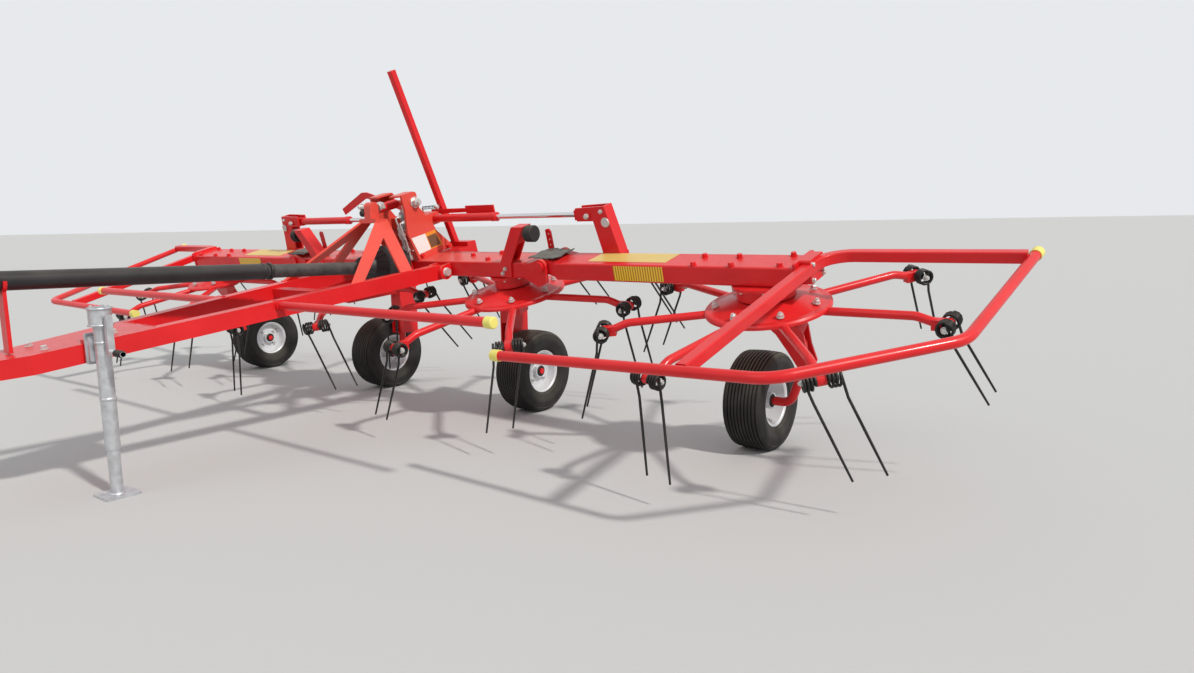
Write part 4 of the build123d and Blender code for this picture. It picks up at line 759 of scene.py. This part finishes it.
# Pin with a red grip that hangs under the nose
GRIP_PROFILE = ((0, 0.006), (0.020, 0.017), (0.032, 0.020), (0.044, 0.016), (0.062, 0.003))
grip = Shape()
pin_top = drawbar(0.0, -1.80, -DRAW_TOP)
grip.tube([pin_top, pin_top - ALONG_Z * 0.050, pin_top - ALONG_Z * 0.085], 0.0050)
grip.turned(pin_top - ALONG_Z * 0.080, -ALONG_Z, GRIP_PROFILE, 20)
grip.done("hitch_pin_grip", GRIP_RED, "frame")

# Small spring that pulls the left lock hook
SPRING_TURNS, SPRING_STEPS, SPRING_R, SPRING_WIRE = 9, 12, 0.0075, 0.0014
spring = Shape()
start, end = row(0.004, 0.126, 0.388), row(0.080, 0.144, 0.388)
total = SPRING_TURNS * SPRING_STEPS
points = []
for i in range(total + 1):
    turn = tau * i / SPRING_STEPS
    points.append(start.lerp(end, i / total) + UP * SPRING_R * cos(turn) + REAR * SPRING_R * sin(turn))
spring.tube(points, SPRING_WIRE, 6)
spring.done("hook_spring", SPRING, "frame")

# Bell over the drive joint: ribs round its skirt and along its cone; rings on the shaft guard
RISE = radians(1.35)
SHAFT_WAY = Vector((0, -cos(RISE), sin(RISE)))
SHAFT_HOME = back(0, -0.215, 0.736)
ribs = Shape()
for along in (-0.052, -0.030, -0.008, 0.014, 0.036):
    ribs.band(SHAFT_HOME + SHAFT_WAY * along, SHAFT_WAY, 0.1035, 0.1058, 0.006, 0.0015, 48)
for along, r in ((0.175, 0.036), (0.640, 0.037), (0.672, 0.036), (1.652, 0.050)):
    ribs.band(SHAFT_HOME + SHAFT_WAY * along, SHAFT_WAY, r - 0.006, r, 0.014, 0.002, 40)
for angle in rounds(16, 0):
    out = Vector((cos(angle), 0, sin(angle)))
    out = (out - SHAFT_WAY * out.dot(SHAFT_WAY)).normalized()
    wide_end = SHAFT_HOME + SHAFT_WAY * 0.062 + out * 0.0905
    narrow_end = SHAFT_HOME + SHAFT_WAY * 0.164 + out * 0.0500
    ribs.tube([wide_end, narrow_end], 0.0016, 6)
ribs.done("bell_ribs", BLACK, "frame")

# Blank label on the headstock's left plate: a white field, a band and a darker panel
LABEL_THICK = 0.0008
LABELS = (
    # name, material, how far out, corners as the row's depth and height
    ("label_blank", LABEL, 0.0003, ((-0.0907, 0.2891), (0.0006, 0.2875), (0.0137, 0.2028), (-0.0664, 0.1992))),
    ("label_band", ORANGE, 0.0003, ((0.0006, 0.2875), (0.0702, 0.2899), (0.0990, 0.2027), (0.0137, 0.2028))),
    ("label_panel", UMBER, 0.0008, ((0.0075, 0.2700), (0.0660, 0.2720), (0.0860, 0.2100), (0.0185, 0.2085))),
)
for name, material, out, corners in LABELS:
    label = Shape()
    label.plate([row(HEAD_X + out, y, n) for y, n in corners], ALONG_X * LABEL_THICK)
    label.done(name, material, "frame")

# Jack: flanges of the gear head, the crank's knob and the foot's rim
jack_x = (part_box("jack_leg")[0][0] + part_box("jack_leg")[1][0]) / 2
jack_y = (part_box("jack_leg")[0][1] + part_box("jack_leg")[1][1]) / 2
head_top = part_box("jack_tube")[1][2]
JACK_BOLT_R = 0.027
KNOB_PROFILE = (
    (0, 0.0105), (0.004, 0.0128), (0.020, 0.0120), (0.038, 0.0132), (0.050, 0.0128), (0.056, 0.0085)
)
KNOB_LONG = KNOB_PROFILE[-1][0]
FOOT_RIVET = 0.040  # the rivets of the foot from its middle, both ways
jack = Shape()
for z in (head_top - 0.066, head_top - 0.008):
    jack.band((jack_x, jack_y, z), ALONG_Z, 0.036, 0.0410, 0.0075, 0.001, 40)
for angle in rounds(4):
    bolt_at = (jack_x + JACK_BOLT_R * cos(angle), jack_y + JACK_BOLT_R * sin(angle), head_top)
    jack.bolt(bolt_at, ALONG_Z, 0.010, False)
for z in (head_top - 0.130, head_top - 0.330):
    jack.band((jack_x, jack_y, z), ALONG_Z, 0.0245, 0.0268, 0.012, 0.001, 32)
jack.done("jack_head_trim", GALV, "jack")
crank_low, crank_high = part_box("jack_crank")
knob = Shape()
knob_at = (crank_high.x - KNOB_LONG, (crank_low.y + crank_high.y) / 2, crank_low.z + 0.011)
knob.turned(knob_at, ALONG_X, KNOB_PROFILE, 24)
knob.done("jack_knob", RUBBER, "jack")
foot = Shape()
for a, b in ((1, 1), (1, -1), (-1, 1), (-1, -1)):
    corner = (jack_x + a * FOOT_RIVET, jack_y + b * FOOT_RIVET, 0.0078)
    foot.turned(corner, ALONG_Z, ((0, 0.0075), (0.0006, 0.0075)), 16)
foot.turned((jack_x, jack_y, 0.008), ALONG_Z, ((0, 0.027), (0.003, 0.0255), (0.006, 0.0215)), 28)
foot.done("jack_foot_trim", GALV, "jack_leg")

# Wing trim: reflector, film strip, painted bolts, bracket bolts, welds and the rubber flap over the hinge
REFLECTOR = ((1.315, 0.104), (1.315, 0.166), (1.555, 0.166), (1.555, 0.104))
FILM_STRIP = ((1.16, -0.045), (1.16, 0.072), (1.55, 0.072), (1.55, -0.045))
TOP_BOLTS = ((1.685, 0.037), (1.691, -0.068), (1.853, -0.068), (1.837, 0.037), (2.045, -0.062), (2.045, 0.066))
END_X = 2.1035
FOOT_X = 2.156
CYLINDER_PIN_X = 1.111  # the cylinder's pin in the wing's bracket
FLAP_CELLS_X, FLAP_CELLS_Y = 16, 9
FLAP_X, FLAP_LONG = 0.855, 0.160
FLAP_Y, FLAP_WIDE, FLAP_THICK = -0.078, 0.138, 0.004


def flap_top(way, i, j):
    """A point on the flap's wavy top, i cells back and j cells out."""
    share = j / FLAP_CELLS_X
    sag = 0.004 * sin(pi * share) + 0.002 * sin(j * 1.9)
    lift = 0.0235 + 0.004 * sin(pi * min(1.0, share * 1.1)) - sag
    y = FLAP_Y + FLAP_WIDE * i / FLAP_CELLS_Y
    return row(way * (FLAP_X + FLAP_LONG * share), y, BEAM_TOP + lift + 0.0025 * sin(i * 1.3 + j * 0.5))


for name, way in SIDES:
    body = f"wing_{name}"
    reflector = Shape()
    reflector.plate([row(way * x, -0.0821, n) for x, n in REFLECTOR[::-way]], -REAR * 0.0012)
    reflector.done(f"reflector_{name}", AMBER, body)
    strip = Shape()
    strip.plate([row(way * x, y, BEAM_TOP + 0.0002) for x, y in FILM_STRIP[::way]], UP * 0.0008)
    strip.done(f"film_strip_{name}", PALE, body)
    painted = Shape()
    for x, y in TOP_BOLTS:
        painted.bolt(row(way * x, y, BEAM_TOP), UP, 0.020)
    painted.weld(row(way * 1.160, 0.070, BEAM_TOP + 0.001), row(way * 1.256, 0.070, BEAM_TOP + 0.001))
    for y in (0.0822, -0.0822):
        painted.weld(row(way * END_X, y, 0.110), row(way * END_X, y, 0.164))
    painted.weld(row(way * END_X, -0.070, BEAM_TOP + 0.0002), row(way * END_X, 0.070, BEAM_TOP + 0.0002))
    painted.done(f"wing_painted_{name}", RED, body)
    bolts = Shape()
    bolts.bolt(row(way * CYLINDER_PIN_X, 0.066, 0.340), -REAR, 0.022, False, 0.005)
    bolts.bolt(row(way * CYLINDER_PIN_X, 0.134, 0.340), REAR, 0.022, False, 0.005)
    bolts.bolt(row(way * 1.1854, 0.070, 0.3580), -REAR, 0.014)
    bolts.turned(row(way * 1.2014, 0.070, 0.3100), -REAR, ((0, 0.020), (0.002, 0.022), (0.005, 0.020)), 28)
    for n in (0.114, 0.172):
        for y in (-0.036, 0.056):
            bolts.bolt(row(way * FOOT_X, y, n), ALONG_X * way, 0.014)
    bolts.done(f"wing_bolts_{name}", ZINC, body)
    # the flap lies on the main beam's lugs and on the wing
    flap = Shape()
    rings = []
    for j in range(FLAP_CELLS_X + 1):
        upper = [flap_top(way, i, j) for i in range(FLAP_CELLS_Y + 1)]
        lower = [point - UP * FLAP_THICK for point in upper]
        rings.append(upper + lower[::-1])
    flap.rings(rings)
    piece = flap.done(f"hinge_flap_{name}", FLAP, None)
    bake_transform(piece)
